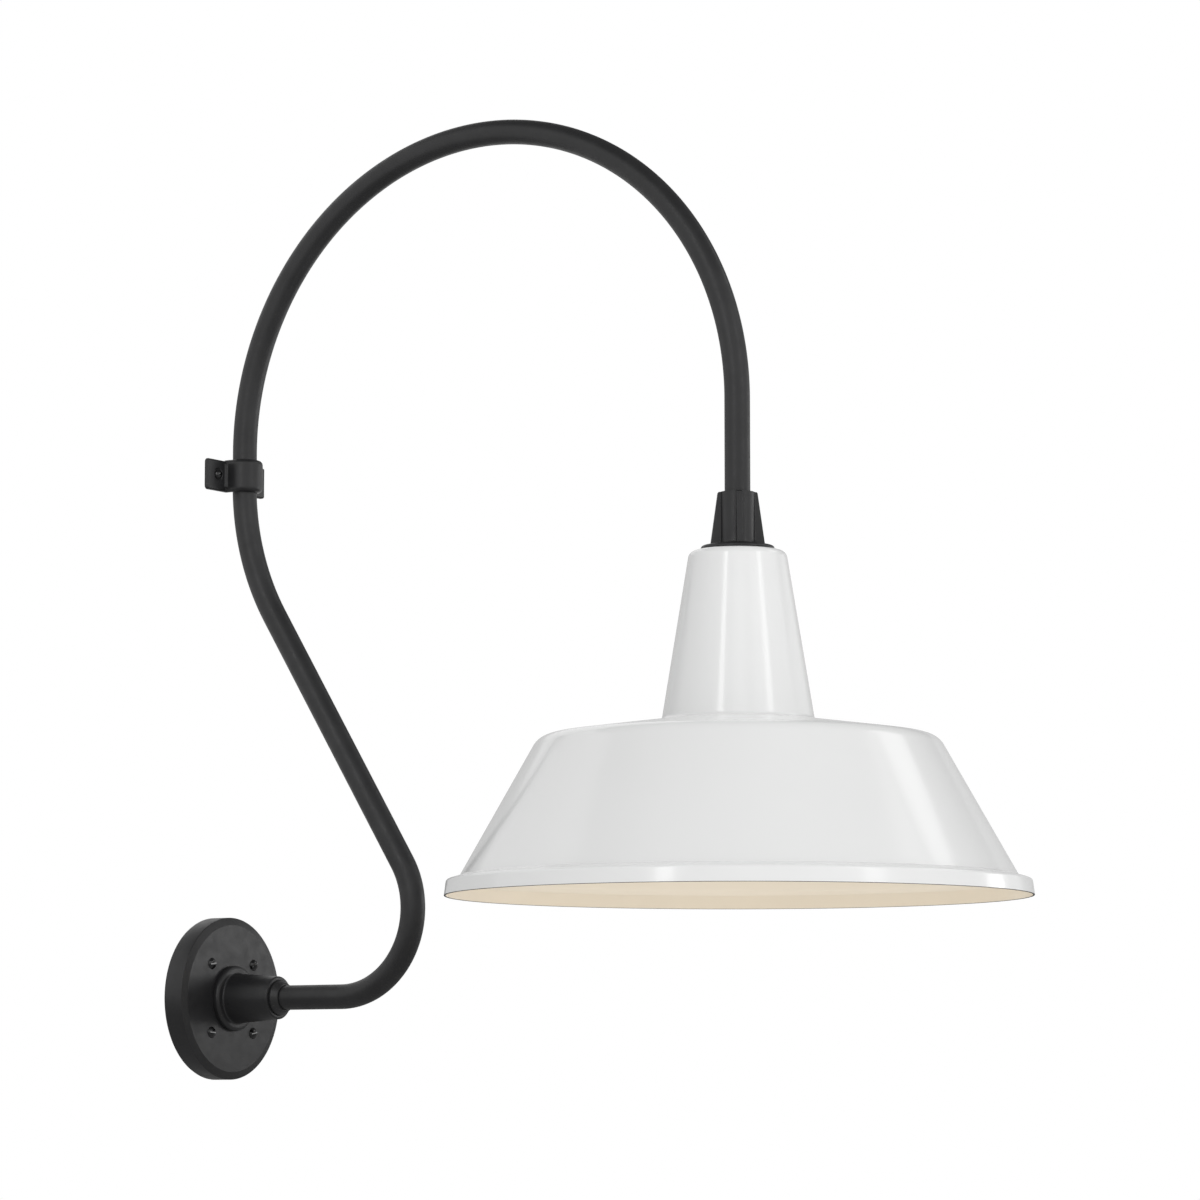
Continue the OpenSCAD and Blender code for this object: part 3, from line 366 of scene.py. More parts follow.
def lathe(bm, profile, place, segments, index_of=None, shape=None):
    """Spins a closed outline of (radius, height) in mm about the local Z of place.
    shape(radius, height, angle) may give another radius, and index_of(step) a material slot."""
    rings = []
    for r, h in profile:
        if r < 1e-6:
            rings.append([bm.verts.new((place @ Vector((0, 0, h))) * MM)])
            continue
        ring = []
        for k in range(segments):
            a = TURN * k / segments
            q = shape(r, h, a) if shape else r
            ring.append(bm.verts.new((place @ Vector((q * math.cos(a), q * math.sin(a), h))) * MM))
        rings.append(ring)
    n = len(rings)
    for i in range(n):
        a, b = rings[i], rings[(i + 1) % n]
        if len(a) == len(b) == 1:
            continue
        for k in range(segments):
            j = (k + 1) % segments
            quad = [a[k % len(a)], a[j % len(a)], b[j % len(b)], b[k % len(b)]]
            f = bm.faces.new(list(dict.fromkeys(quad)))
            f.material_index = index_of(i) if index_of else 0


def turned(name, parts, mats, segments=128, angle=35):
    """One object of several spun outlines: (outline, place) or (outline, place, shape)."""
    bm = bmesh.new()
    for part in parts:
        lathe(bm, part[0], part[1], segments, shape=part[2] if len(part) > 2 else None)
    bmesh.ops.recalc_face_normals(bm, faces=bm.faces)
    return new_object(name, bm, mats, angle=angle)


def thread(major, depth, pitch, low, high):
    """Helical thread cut into the outline where it has the radius major."""
    def shape(r, h, a):
        if abs(r - major) > 0.02 or not low < h < high:
            return r
        phase = (h / pitch - a / TURN) % 1
        tooth = abs(2 * phase - 1)
        return r - depth * tooth * min(1, 2 * (h - low) / pitch, 2 * (high - h) / pitch)
    return shape


def block(bm, place, size):
    bmesh.ops.create_cube(bm, size=1.0, matrix=Matrix.Scale(MM, 4) @ place
                          @ Matrix.Diagonal((*size, 1.0)))


def rod(bm, place, radius, low, high, sides=48):
    """Straight prism with the given radius at its corners."""
    rings = [[bm.verts.new((place @ Vector((radius * math.cos(TURN * k / sides),
                                            radius * math.sin(TURN * k / sides), h))) * MM)
              for k in range(sides)] for h in (low, high)]
    for k in range(sides):
        j = (k + 1) % sides
        bm.faces.new((rings[0][k], rings[0][j], rings[1][j], rings[1][k]))
    bm.faces.new(list(reversed(rings[0])))
    bm.faces.new(rings[1])


def closed_bm(*shells):
    """Mesh of closed shells, given as (function, arguments), with its faces turned outwards."""
    bm = bmesh.new()
    for make, args in shells:
        make(bm, *args)
    bmesh.ops.recalc_face_normals(bm, faces=bm.faces)
    return bm


def dome(radius, height, rim=0.25, steps=10):
    """Outline of a round head from its top to its rim, both included."""
    ball = (radius * radius + height * height) / (2 * height)
    reach = math.asin(min(1, radius / ball)) * (1 - rim / radius)
    return [Vector((ball * math.sin(reach * k / steps), height - ball + ball * math.cos(reach * k / steps)))
            for k in range(steps + 1)] + [Vector((radius, rim * 0.6)), Vector((radius - rim * 0.3, 0))]


def screw_outline(head_r, head_h, thread_r, length, pitch, tip, plain=0.0, shank_r=0.0):
    """Outline of a round-head screw: head up from 0, plain shank, then thread down to the tip."""
    end = tip - length
    count = math.ceil((-plain - end) / (pitch / 6))
    shank = [Vector((shank_r, 0)), Vector((shank_r, -plain))] if plain else []
    shank += [Vector((thread_r, -plain + (end + plain) * k / count)) for k in range(count + 1)]
    return dome(head_r, head_h) + shank + [Vector((thread_r - tip * 0.7, -length)), Vector((0, -length))]


def wall_screw(head_r, head_h, length, plain, place):
    """A round-head screw with a plain shank and a thread behind it, as a part for turned."""
    outline = screw_outline(head_r, head_h, SCREW_THREAD_R, length, SCREW_PITCH, SCREW_TIP,
                            plain, SCREW_SHANK_R)
    return outline, place, thread(SCREW_THREAD_R, SCREW_GROOVE, SCREW_PITCH, SCREW_TIP - length, -plain)


def hexagon(width, low, high, bevel=0.55):
    """Radius of a hexagonal nut with chamfered ends, as a shape for lathe."""
    def shape(r, h, a):
        if r < width * 0.45:
            return r
        side = (a + math.pi / 6) % (math.pi / 3) - math.pi / 6
        flat = width / 2 / math.cos(side)
        end = min(h - low, high - h)
        return min(flat, width / 2 * 0.985 + end / bevel)
    return shape


def hex_nut(name, width, bore_r, low, high, place, node):
    r = width / 2 / math.cos(math.pi / 6)
    heights = [0, 0.15, 0.35, 0.6, 0.9, 1.3]
    rise = [low + h for h in heights] + [high - h for h in reversed(heights)]
    outline = [Vector((bore_r, low + 0.4)), Vector((bore_r + 0.4, low))]
    outline += [Vector((r, h)) for h in rise]
    outline += [Vector((bore_r + 0.4, high)), Vector((bore_r, high - 0.4))]
    obj = turned(name, [(outline, place, hexagon(width, low, high))], [ZINC], 144, 25)
    return finish_piece(obj, "fixture", "zinc_steel", node)


def flat_washer(name, bore_r, outer_r, low, place, node):
    high = low + WASHER_T
    outline = rounded([(bore_r, low), (outer_r, low), (outer_r, high), (bore_r, high)], [0.25] * 4, 4)
    obj = turned(name, [(outline, place)], [ZINC], 96, 50)
    return finish_piece(obj, "fixture", "zinc_steel", node)


# Wall end
def screw_place(turn, out):
    """Frame of a cover screw on the backplate, with Z pointing out from the wall."""
    return OUT @ Matrix.Rotation(math.radians(turn), 4, "Z") @ Matrix.Translation((SCREW_CIRCLE_R, 0, out))


def build_backplate():
    hole = HUB_SHANK_R + SLIP
    outline = rounded(
        [(hole, PLATE_INSIDE), (PLATE_R - PLATE_WALL, PLATE_INSIDE), (PLATE_R - PLATE_WALL, PLATE_REAR),
         (PLATE_R, PLATE_REAR), (PLATE_R, PLATE_FRONT - BEVEL_D), (PLATE_R - BEVEL_W, PLATE_FRONT),
         (hole, PLATE_FRONT)],
        [0, 2.5, 0.4, 0.5, 0.8, 1.6, 0], 6)
    obj = turned("backplate_cover", [(outline, OUT)], [BLACK_CAST], 192)
    bosses, holes = bmesh.new(), bmesh.new()
    foot = PLATE_INSIDE + 0.5
    for angle, _ in SCREW_TURNS:
        place = screw_place(angle, 0)
        lathe(bosses, [(0, PLATE_REAR), (BOSS_R - 0.6, PLATE_REAR), (BOSS_R, PLATE_REAR + 0.6),
                       (BOSS_R, foot - 2.0), (BOSS_R + 0.5, foot - 1.0), (BOSS_R + 1.5, foot),
                       (0, foot)], place, 48)
        rod(holes, place, SCREW_SHANK_R + SLIP, -1, PLATE_FRONT + 1)
    place = OUT @ Matrix.Translation((0, -EARTH_DROP, 0))
    low = PLATE_INSIDE - EARTH_BOSS_H
    lathe(bosses, [(0, low), (EARTH_BOSS_R - 0.4, low), (EARTH_BOSS_R, low + 0.4),
                   (EARTH_BOSS_R, low + 2.0), (EARTH_BOSS_R + 1.2, low + 3.2), (0, low + 3.2)], place, 48)
    rod(holes, place, EARTH_HOLE_R, low - 1, low + 6)
    for bm in (bosses, holes):
        bmesh.ops.recalc_face_normals(bm, faces=bm.faces)
    carve(obj, [("UNION", bosses), ("DIFFERENCE", holes)])
    finish_piece(obj, "fixture", "black_paint", "backplate")


def build_cover_screws():
    head_r, head_h, length = 5.3, 3.6, PLATE_FRONT + SCREW_EMBEDDED
    parts, slots = [], bmesh.new()
    for angle, slot in SCREW_TURNS:
        place = screw_place(angle, PLATE_FRONT)
        parts.append(wall_screw(head_r, head_h, length, PLATE_FRONT, place))
        block(slots, place @ Matrix.Rotation(math.radians(slot - angle), 4, "Z")
              @ Matrix.Translation((0, 0, head_h + 0.3)), (14, 1.3, 4.0))
    obj = turned("cover_screws_slotted", parts, [BLACK_STEEL], 48, 40)
    carve(obj, [("DIFFERENCE", slots)], 40)
    finish_piece(obj, "fixture", "black_steel", "cover_screws")


def build_hub():
    foot_top = PLATE_FRONT + HUB_FOOT_T
    bore = TUBE_R + SLIP
    outline = rounded(
        [(HUB_PASSAGE_R, HUB_END), (HUB_SHANK_R, HUB_END), (HUB_SHANK_R, PLATE_FRONT),
         (HUB_FOOT_R, PLATE_FRONT), (HUB_FOOT_R, foot_top), (HUB_ROOT_R, foot_top),
         (HUB_NOSE_R, HUB_NOSE), (GLAND_R + SLIP, HUB_NOSE), (GLAND_R + SLIP, GLAND_BOTTOM),
         (bore, GLAND_BOTTOM), (bore, SOCKET_END), (HUB_PASSAGE_R, SOCKET_END)],
        [0.5, 0.6, 0, 0.4, 3.4, 1.4, 1.6, 0.3, 0, 0.3, 0, 0], 10)
    outline = fine(outline, 1.2)
    threaded = thread(HUB_SHANK_R, 0.45, 1.4, HUB_END, PLATE_FRONT - 0.5)
    obj = turned("hub_cast", [(outline, OUT, threaded)], [BLACK_CAST], 160)
    hole = closed_bm((rod, (Matrix.Translation((0, -(SOCKET_END + GLAND_BOTTOM) / 2, -HUB_ROOT_R - 2)),
                            SET_SCREW_HOLE_R, 0, HUB_ROOT_R)))
    carve(obj, [("DIFFERENCE", hole)])
    finish_piece(obj, "fixture", "black_paint", "hub")


def build_gland():
    bore = TUBE_R + SLIP
    outline = rounded([(bore, GLAND_BOTTOM), (GLAND_R, GLAND_BOTTOM), (GLAND_R, GLAND_TOP - 6.0),
                       (bore + 1.6, GLAND_TOP), (bore, GLAND_TOP)], [0, 0.3, 2.5, 1.0, 0.3], 10)
    obj = turned("gland_domed", [(outline, OUT)], [BLACK], 128)
    finish_piece(obj, "fixture", "black_paint", "gland_ring")


def set_screw(name, place, length, node):
    """Headless screw with its tip at the origin of place and a hexagonal key hole at the far end."""
    r, key_half, key_depth = SET_SCREW_R, 1.5, 3
    outline = rounded([(0, 0), (r, 0), (r, length), (0, length)], [0, 1.0, 0.5, 0], 4)
    outline = fine(outline, 0.2)
    obj = turned(name, [(outline, place, thread(r, 0.3, 1.0, 1.2, length - 0.6))], [BLACK_STEEL], 48, 40)
    key = closed_bm((rod, (place, key_half / math.cos(math.pi / 6), length - key_depth, length + 1, 6)))
    carve(obj, [("DIFFERENCE", key)], 40)
    finish_piece(obj, "fixture", "black_steel", node)


def build_hub_fasteners():
    low = PLATE_INSIDE - WASHER_T
    flat_washer("hub_washer_flat", HUB_SHANK_R + SLIP, 17.0, low, OUT, "hub_washer")
    hex_nut("hub_nut_hex", 28.6, HUB_SHANK_R + THREAD_GAP, low - HUB_NUT_T, low, OUT, "hub_lock_nut")
    place = (Matrix.Translation((0, -(SOCKET_END + GLAND_BOTTOM) / 2, -TUBE_R - SLIP))
             @ Matrix.Rotation(math.pi, 4, "X"))
    set_screw("hub_set_screw_hex", place, 9.0, "hub_set_screw")


# Arm
def course(tail_out, end_z, step=4.0):
    """Centre points (out, z) and headings of the arm's course, in mm."""
    pts = []

    def run(a, b):
        n = max(2, int((b - a).length / step))
        for k in range(n):
            pts.append((a + (b - a) * k / n, (b - a).normalized()))

    def arc(c, r, a0, sweep):
        n = max(6, int(abs(sweep) * r / step))
        for k in range(n):
            a = a0 + sweep * k / n
            s = math.copysign(1, sweep)
            pts.append((c + r * Vector((math.cos(a), math.sin(a))),
                        s * Vector((-math.sin(a), math.cos(a)))))

    run(Vector((tail_out, 0)), Vector((BEND_OUT, 0)))
    arc(Vector((BEND_OUT, LOW_R)), LOW_R, -math.pi / 2, math.pi / 2 + LEAN)
    run(LOW_END, LEAN_END)
    arc(MID_C, MID_R, math.pi + LEAN, -LEAN)
    run(RISER_FOOT, RISER_FOOT + Vector((0, RISER)))
    arc(RISE_C, RISE_R, math.pi, -math.pi / 2)
    arc(DROP_C, DROP_R, math.pi / 2, -math.pi / 2)
    end = Vector((DROP_START.x, end_z))
    run(DROP_START, end)
    pts.append((end, Vector((0, -1))))
    return pts


def sweep(bm, frames, radius, segments, index=0, caps=True):
    """Round rod in material slot index along frames of (centre, side, up), in mm and in space."""
    rings = []
    for c, side, up in frames:
        rings.append([bm.verts.new((c + radius * (math.cos(TURN * k / segments) * side
                                                  + math.sin(TURN * k / segments) * up)) * MM)
                      for k in range(segments)])
    for a, b in zip(rings, rings[1:]):
        for k in range(segments):
            j = (k + 1) % segments
            bm.faces.new((a[k], a[j], b[j], b[k])).material_index = index
    if caps:
        bm.faces.new(rings[0]).material_index = index
        bm.faces.new(rings[-1]).material_index = index
    return rings


def plane_frames(pts, x=0.0):
    """Frames in the arm's plane from (out, z) points and headings."""
    return [(Vector((x, -p.x, p.y)), Vector((1, 0, 0)), Vector((0, t.y, t.x))) for p, t in pts]


def build_arm():
    frames = plane_frames(course(SOCKET_END, TUBE_END))
    bm = bmesh.new()
    outer = sweep(bm, frames, TUBE_R, TUBE_SIDES, caps=False)
    inner = sweep(bm, frames, TUBE_R - TUBE_WALL, TUBE_SIDES, caps=False)
    for a, b in ((outer[0], inner[0]), (outer[-1], inner[-1])):
        for k in range(TUBE_SIDES):
            j = (k + 1) % TUBE_SIDES
            bm.faces.new((a[k], a[j], b[j], b[k]))
    bmesh.ops.recalc_face_normals(bm, faces=bm.faces)
    finish_piece(new_object("arm_bent_tube", bm, [BLACK], angle=60), "fixture", "black_paint", "arm_tube")


def soft_copy(name, node, material, voxel, passes):
    """A node's shape with its edges softened, as on a casting."""
    obj = bpy.data.objects.new(name, NODES[node].data.copy())
    bpy.context.scene.collection.objects.link(obj)
    voxels = obj.modifiers.new("voxels", "REMESH")
    voxels.mode = "VOXEL"
    voxels.voxel_size = voxel * MM
    soften = obj.modifiers.new("soften", "SMOOTH")
    soften.factor = 0.5
    soften.iterations = passes
    obj.data.materials.clear()
    obj.data.materials.append(material)
    apply_modifiers(obj, 60)
    return obj


def build_strap():
    obj = soft_copy("strap_cast", "wall_strap", BLACK_CAST, 0.42, 4)
    finish_piece(obj, "fixture", "black_paint", "wall_strap")
    z = (edge("wall_strap", 2, 0) + edge("wall_strap", 2, 1)) / 2
    ear_t, ear_back, spot_depth, screw_out = 4.0, 9.2, 0.6, 28.0
    head_r, head_h, length = 4.6, 4.0, 9.0
    cross_bar = (4.6, 1.2, 3.6)
    seat = RISER_FOOT.x - ear_back - spot_depth
    parts, crosses = [], {20: bmesh.new(), 110: bmesh.new()}
    for side in (-1, 1):
        place = Matrix.Translation((side * screw_out, -seat, z)) @ OUT
        parts.append(wall_screw(head_r, head_h, length, ear_t - spot_depth, place))
        for turn, cuts in crosses.items():
            block(cuts, place @ Matrix.Rotation(math.radians(turn), 4, "Z")
                  @ Matrix.Translation((0, 0, head_h)), cross_bar)
    obj = turned("strap_screws_cross", parts, [BLACK_STEEL], 48, 40)
    carve(obj, [("DIFFERENCE", cuts) for cuts in crosses.values()], 40)
    finish_piece(obj, "fixture", "black_steel", "strap_screws")


def build_collar():
    bore, flange_top = TUBE_R + SLIP, FLANGE_BOTTOM + FLANGE_T
    middle = FLANGE_BOTTOM + STEM_GRIP
    outline = rounded(
        [(STEM_R + THREAD_GAP, FLANGE_BOTTOM), (FLANGE_R, FLANGE_BOTTOM),
         (FLANGE_R - 0.3, flange_top - FLANGE_CROWN), (COLLAR_FOOT_R, flange_top),
         (COLLAR_TOP_R, COLLAR_TOP), (bore, COLLAR_TOP), (bore, TUBE_END),
         (STEM_BORE_R, TUBE_END), (STEM_BORE_R, middle), (STEM_R + THREAD_GAP, middle)],
        [0.3, 0.6, FLANGE_ROUND, 0.6, 1.6, 0.4, 0, 0, 0, 0], 8)
    outline = fine(outline, 0.9)
    slope = (COLLAR_FOOT_R - COLLAR_TOP_R) / COLLAR_H
    soft, fillet_out, fillet_up = 0.22, 1.6, 1.1
    fin_turn, fin_gap = math.radians(FIN_TURN), TURN / FIN_COUNT

    def fins(r, h, a):
        """Blends fins with parallel sides into the core, with a fillet at the flange."""
        envelope = COLLAR_FOOT_R - (h - flange_top) * slope
        if r < COLLAR_CORE_R or h < flange_top - 0.4 or (h < flange_top + 0.3 and r > envelope + 0.2):
            return r
        side = (a - fin_turn + fin_gap / 2) % fin_gap - fin_gap / 2
        wall = FIN_W / 2 / max(abs(math.sin(side)), 1e-3)
        hollow = COLLAR_CORE_R + fillet_out * math.exp(-max(0, h - flange_top) / fillet_up)
        raised = 0.5 * (wall + hollow + math.sqrt((wall - hollow) ** 2 + soft * soft))
        return 0.5 * (raised + r - math.sqrt((raised - r) ** 2 + soft * soft * 0.4))

    obj = turned("collar_finned", [(outline, UP, fins)], [BLACK_CAST], 480, 50)
    screw_up, screw_turn = 15.0, math.radians(FIN_TURN + 180 / FIN_COUNT)
    place = (UP @ Matrix.Translation((0, 0, TUBE_END + screw_up)) @ Matrix.Rotation(screw_turn, 4, "Z")
             @ Matrix.Rotation(math.pi / 2, 4, "Y"))
    carve(obj, [("DIFFERENCE", closed_bm((rod, (place, SET_SCREW_HOLE_R, 5, 26))))], 50)
    finish_piece(obj, "fixture", "black_paint", "fitter_collar")
    set_screw("collar_set_screw_hex", place @ Matrix.Translation((0, 0, TUBE_R + SLIP)), 5.0,
              "collar_set_screw")


# Shade
def build_shade():
    """One wall of even thickness: both faces share the centre of each rounded corner."""
    t, steps = SHADE_T, 14
    hole = STEM_R + SLIP
    outer = [(hole, 0), (42.1, 0), (66.3, -147.6), (172.9, -162.3), (240.6, -282.5),
             (252.2, -285.9), (254.0, -299.5)]
    rounds = [0, 7.2, 4.0, 18.6, 2.2, 3.2, 0.35]
    inner_grows = [0, -1, 1, -1, 1, -1, 0]
    pts = [Vector(p) for p in outer]

    def moved(i):
        a, b = (pts[i] - pts[i - 1]).normalized(), (pts[i + 1] - pts[i]).normalized()
        m = Vector((a.y, -a.x)) + Vector((b.y, -b.x))
        return pts[i] + m * (2 * t / m.dot(m))

    (ledge_r, ledge_z), (lip_r, lip_z) = outer[-2:]
    slope = (lip_r - ledge_r) / (ledge_z - lip_z)
    inner = [Vector((hole, -t))] + [moved(i) for i in range(1, len(pts) - 1)]
    inner.append(Vector((lip_r - t * math.sqrt(1 + slope * slope), lip_z)))
    path_out = rounded(pts + [inner[-1]], rounds + [0], steps)[:-1]
    inner_rounds = [0] + [r + t * s for r, s in zip(rounds[1:-1], inner_grows[1:-1])] + [rounds[-1]]
    path_in = rounded(inner + [pts[-1]], inner_rounds + [0], steps)[:-1]
    loop = path_out + list(reversed(path_in))
    n_out = len(path_out)

    def index_of(i):
        """Slot 0 for the outside, 1 for the inside and 2 for the cut edge."""
        if i < n_out - steps - 1:
            return 0
        return 2 if i < n_out + steps else 1

    bm = bmesh.new()
    lathe(bm, [(p.x, p.y) for p in loop], UP @ Matrix.Translation((0, 0, SHADE_TOP)),
          SHADE_SIDES, index_of=index_of)
    bmesh.ops.recalc_face_normals(bm, faces=bm.faces)
    obj = new_object("shade_spun", bm, [WHITE, CREAM, CUT], angle=60)
    finish_piece(obj, "fixture", "enamel", "shade")


# Lampholder and bulb
def build_stem():
    high = FLANGE_BOTTOM + STEM_GRIP
    outline = fine(rounded([(STEM_BORE_R, STEM_END), (STEM_R, STEM_END), (STEM_R, high),
                            (STEM_BORE_R, high)], [0.4, 0.6, 0.6, 0.4], 3), 0.24)
    obj = turned("stem_threaded", [(outline, UP, thread(STEM_R, 0.4, 1.4, STEM_END, high))], [ZINC], 72, 50)
    finish_piece(obj, "fixture", "zinc_steel", "stem")
    low = SHADE_TOP - SHADE_T - WASHER_T
    flat_washer("shade_washer_flat", STEM_R + SLIP, 22.0, low, UP, "shade_washer")
    hex_nut("shade_nut_hex", 28.0, STEM_R + THREAD_GAP, low - 6.0, low, UP, "shade_lock_nut")
    low = edge("bracket_lock_nut", 2, 0)
    hex_nut("bracket_nut_hex", 24.0, STEM_R + THREAD_GAP, low, low + 4.0, UP, "bracket_lock_nut")


def build_holder():
    well_r, screw_hole_r = 13.85 + SLIP, 1.55
    outline = rounded(
        [(0, SOCKET_FLOOR), (well_r, SOCKET_FLOOR), (well_r, HOLDER_MOUTH),
         (HOLDER_BEAD_R, HOLDER_MOUTH), (HOLDER_BEAD_R, HOLDER_MOUTH + 5.0),
         (HOLDER_R, HOLDER_MOUTH + 6.5), (HOLDER_R, HOLDER_TOP), (0, HOLDER_TOP)],
        [0, 0.4, 1.0, 1.6, 1.4, 1.2, 1.4, 0], 8)
    obj = turned("lampholder_glazed", [(outline, UP)], [PORCELAIN], 160, 50)
    holes = bmesh.new()
    for side in (-1, 1):
        for x, y, depth in ((HOLDER_SCREW_OUT, 0, 10.0), (TERMINAL.x, -TERMINAL.y, 8.0)):
            place = UP @ Matrix.Translation((side * x, side * y, HOLDER_TOP - depth))
            rod(holes, place, screw_hole_r, 0, 12, 24)
    bmesh.ops.recalc_face_normals(holes, faces=holes.faces)
    carve(obj, [("DIFFERENCE", holes)], 50)
    finish_piece(obj, "fixture", "porcelain", "lampholder")


def build_screw_shell():
    low, high, bore, sheet_low, sheet_high = SOCKET_FLOOR - 22.0, SOCKET_FLOOR, 13.35, 0.13, 0.37

    def wave(r, h, a):
        fade = min(1, (h - low) / 2, (high - h) / 2)
        return r + 0.12 * fade * math.cos(TURN * (h / EDISON_PITCH - a / TURN))

    outline = fine([(bore + sheet_low, low), (bore + sheet_high, low), (bore + sheet_high, high),
                    (bore + sheet_low, high)], 0.4)
    obj = turned("shell_threaded", [(outline, UP, wave)], [BRASS], 96, 50)
    finish_piece(obj, "fixture", "brass", "screw_shell")


def build_bracket():
    bracket = bpy.data.objects.new("bracket_bent", NODES["holder_bracket"].data.copy())
    bpy.context.scene.collection.objects.link(bracket)
    soften = bracket.modifiers.new("soften", "BEVEL")
    soften.width = 0.3 * MM
    soften.segments = 2
    soften.limit_method = "ANGLE"
    soften.angle_limit = math.radians(40)
    apply_modifiers(bracket, 40)
    finish_piece(bracket, "fixture", "zinc_steel", "holder_bracket")


def small_screws(name, node, head_r, depth, z, spots, mat, slot):
    """Slotted screws with their heads seated at z, at spots of (x, y, turn of the slot)."""
    shank_r, groove, pitch, tip, head_h = 1.5, 0.22, 0.6, 0.5, 2.0
    parts, cuts = [], bmesh.new()
    for x, y, turn in spots:
        place = UP @ Matrix.Translation((x, y, z))
        parts.append((screw_outline(head_r, head_h, shank_r, depth, pitch, tip), place,
                      thread(shank_r, groove, pitch, -depth + tip, -0.4)))
        block(cuts, place @ Matrix.Rotation(math.radians(turn), 4, "Z")
              @ Matrix.Translation((0, 0, head_h)), (9, 0.9, 2.2))
    obj = turned(name, parts, [mat], 36, 40)
    carve(obj, [("DIFFERENCE", cuts)], 40)
    finish_piece(obj, "fixture", slot, node)


def build_earth_screw():
    head_r, head_h, length, groove, pitch, tip = 4.0, 2.0, 6.7, 0.28, 0.7, 0.6
    seat = -PLATE_INSIDE + EARTH_BOSS_H + 1.7
    place = Matrix.Translation((0, seat, -EARTH_DROP)) @ Matrix.Rotation(math.radians(-90), 4, "X")
    outline = screw_outline(head_r, head_h, EARTH_SCREW_R, length, pitch, tip)
    cut = thread(EARTH_SCREW_R, groove, pitch, -length + tip, -0.4)
    obj = turned("earth_screw_slotted", [(outline, place, cut)], [GREEN_STEEL], 48, 40)
    slot = closed_bm((block, (place @ Matrix.Translation((0, 0, head_h)), (11, 1.3, 3.0))))
    carve(obj, [("DIFFERENCE", slot)], 40)
    finish_piece(obj, "fixture", "green_steel", "earth_screw")


def bare_end(bm, frame, start, end):
    """Copper of a lead in material slot 1, in line with the frame where it leaves the sleeve."""
    sweep(bm, [(start, frame[1], frame[2]), (end, frame[1], frame[2])], COPPER_R, 16, 1)


def finish_lead(name, bm, mat, slot, node):
    bmesh.ops.recalc_face_normals(bm, faces=bm.faces)
    finish_piece(new_object(name, bm, [mat, COPPER], angle=50), "fixture", slot, node)


def build_supply_lead(name, node, side, mat, slot):
    """A lead on the arm's course that turns towards its terminal above the lampholder."""
    x, right = side * LEAD_OFF, Vector((1, 0, 0))
    bend_z = LEAD_Z + LEAD_BEND
    frames = plane_frames(course(LEAD_TAIL, bend_z)[:-1], x)
    for k in range(BEND_STEPS + 1):
        a = math.pi / 2 * k / BEND_STEPS
        y = -side * LEAD_BEND * (1 - math.cos(a))
        z = bend_z - LEAD_BEND * math.sin(a)
        heading = Vector((0, -side * math.sin(a), -math.cos(a)))
        frames.append((Vector((x, -AXIS + y, z)), right, right.cross(heading)))
    end = frames[-1]
    frames.append((end[0] + Vector((0, -side * (LEAD_STRIP - LEAD_BEND), 0)), end[1], end[2]))
    bm = bmesh.new()
    sweep(bm, frames, LEAD_R, 24)
    bare_end(bm, frames[0], Vector((x, -COPPER_END, 0)), Vector((x, -LEAD_TAIL - COPPER_LAP, 0)))
    bare_end(bm, frames[-1], frames[-1][0] + Vector((0, side * COPPER_LAP, 0)),
             Vector((x, -AXIS - side * (TERMINAL.y + 2), LEAD_Z)))
    finish_lead(name, bm, mat, slot, node)


def build_earth_lead():
    """A short lead that comes down from the earth screw and turns towards the wall."""
    x = EARTH_SCREW_R + COPPER_R + THREAD_GAP
    y = -(PLATE_INSIDE - EARTH_BOSS_H - THREAD_GAP - COPPER_R)
    strip_z = -EARTH_DROP - EARTH_BOSS_R - 1.0
    turn_z = strip_z - 5.0
    side, up = Vector((1, 0, 0)), Vector((0, 1, 0))
    frames = [(Vector((x, y, strip_z)), side, up), (Vector((x, y, turn_z)), side, up)]
    for k in range(1, BEND_STEPS + 1):
        a = math.pi / 2 * k / BEND_STEPS
        place = Vector((x, y + LEAD_BEND * (1 - math.cos(a)), turn_z - LEAD_BEND * math.sin(a)))
        frames.append((place, side, Vector((0, math.cos(a), math.sin(a)))))
    frames.append((Vector((x, -LEAD_TAIL, turn_z - LEAD_BEND)), side, Vector((0, 0, 1))))
    bm = bmesh.new()
    sweep(bm, frames, LEAD_R, 24)
    bare_end(bm, frames[0], Vector((x, y, strip_z - COPPER_LAP)), Vector((x, y, -EARTH_DROP + 2)))
    end = frames[-1]
    bare_end(bm, end, end[0] - Vector((0, COPPER_LAP, 0)), Vector((x, -COPPER_END, end[0].z)))
    finish_lead("lead_green", bm, WIRE_GREEN, "green_lead", "earth_lead")


def build_bulb_glass():
    ball_r, neck_r, wall, fillet, flare = 30.0, 12.3, 0.8, 15.0, 40
    ball_z, top = BULB_TIP + ball_r, CAP_BOTTOM + 9.0

    def side(ball, neck, fillet):
        """Outline from the tip up the ball, then tangent to it and into the neck."""
        pts = [Vector((ball * math.cos(math.radians(a)), ball_z + ball * math.sin(math.radians(a))))
               for a in range(-90, flare + 1, 3)]
        leave = pts[-1]
        corner = Vector((neck, leave.y + (leave.x - neck) / math.tan(math.radians(flare))))
        pts[0] = Vector((0, pts[0].y))
        return pts + corner_arc(leave, corner, Vector((neck, top)), fillet, 12) + [Vector((neck, top))]

    inner = side(ball_r - wall, neck_r - wall, fillet + wall)
    outline = side(ball_r, neck_r, fillet) + list(reversed(inner))
    obj = turned("bulb_frosted", [(outline, UP)], [FROST], 128, 60)
    finish_piece(obj, "bulb", "bulb_glass", "bulb_glass")


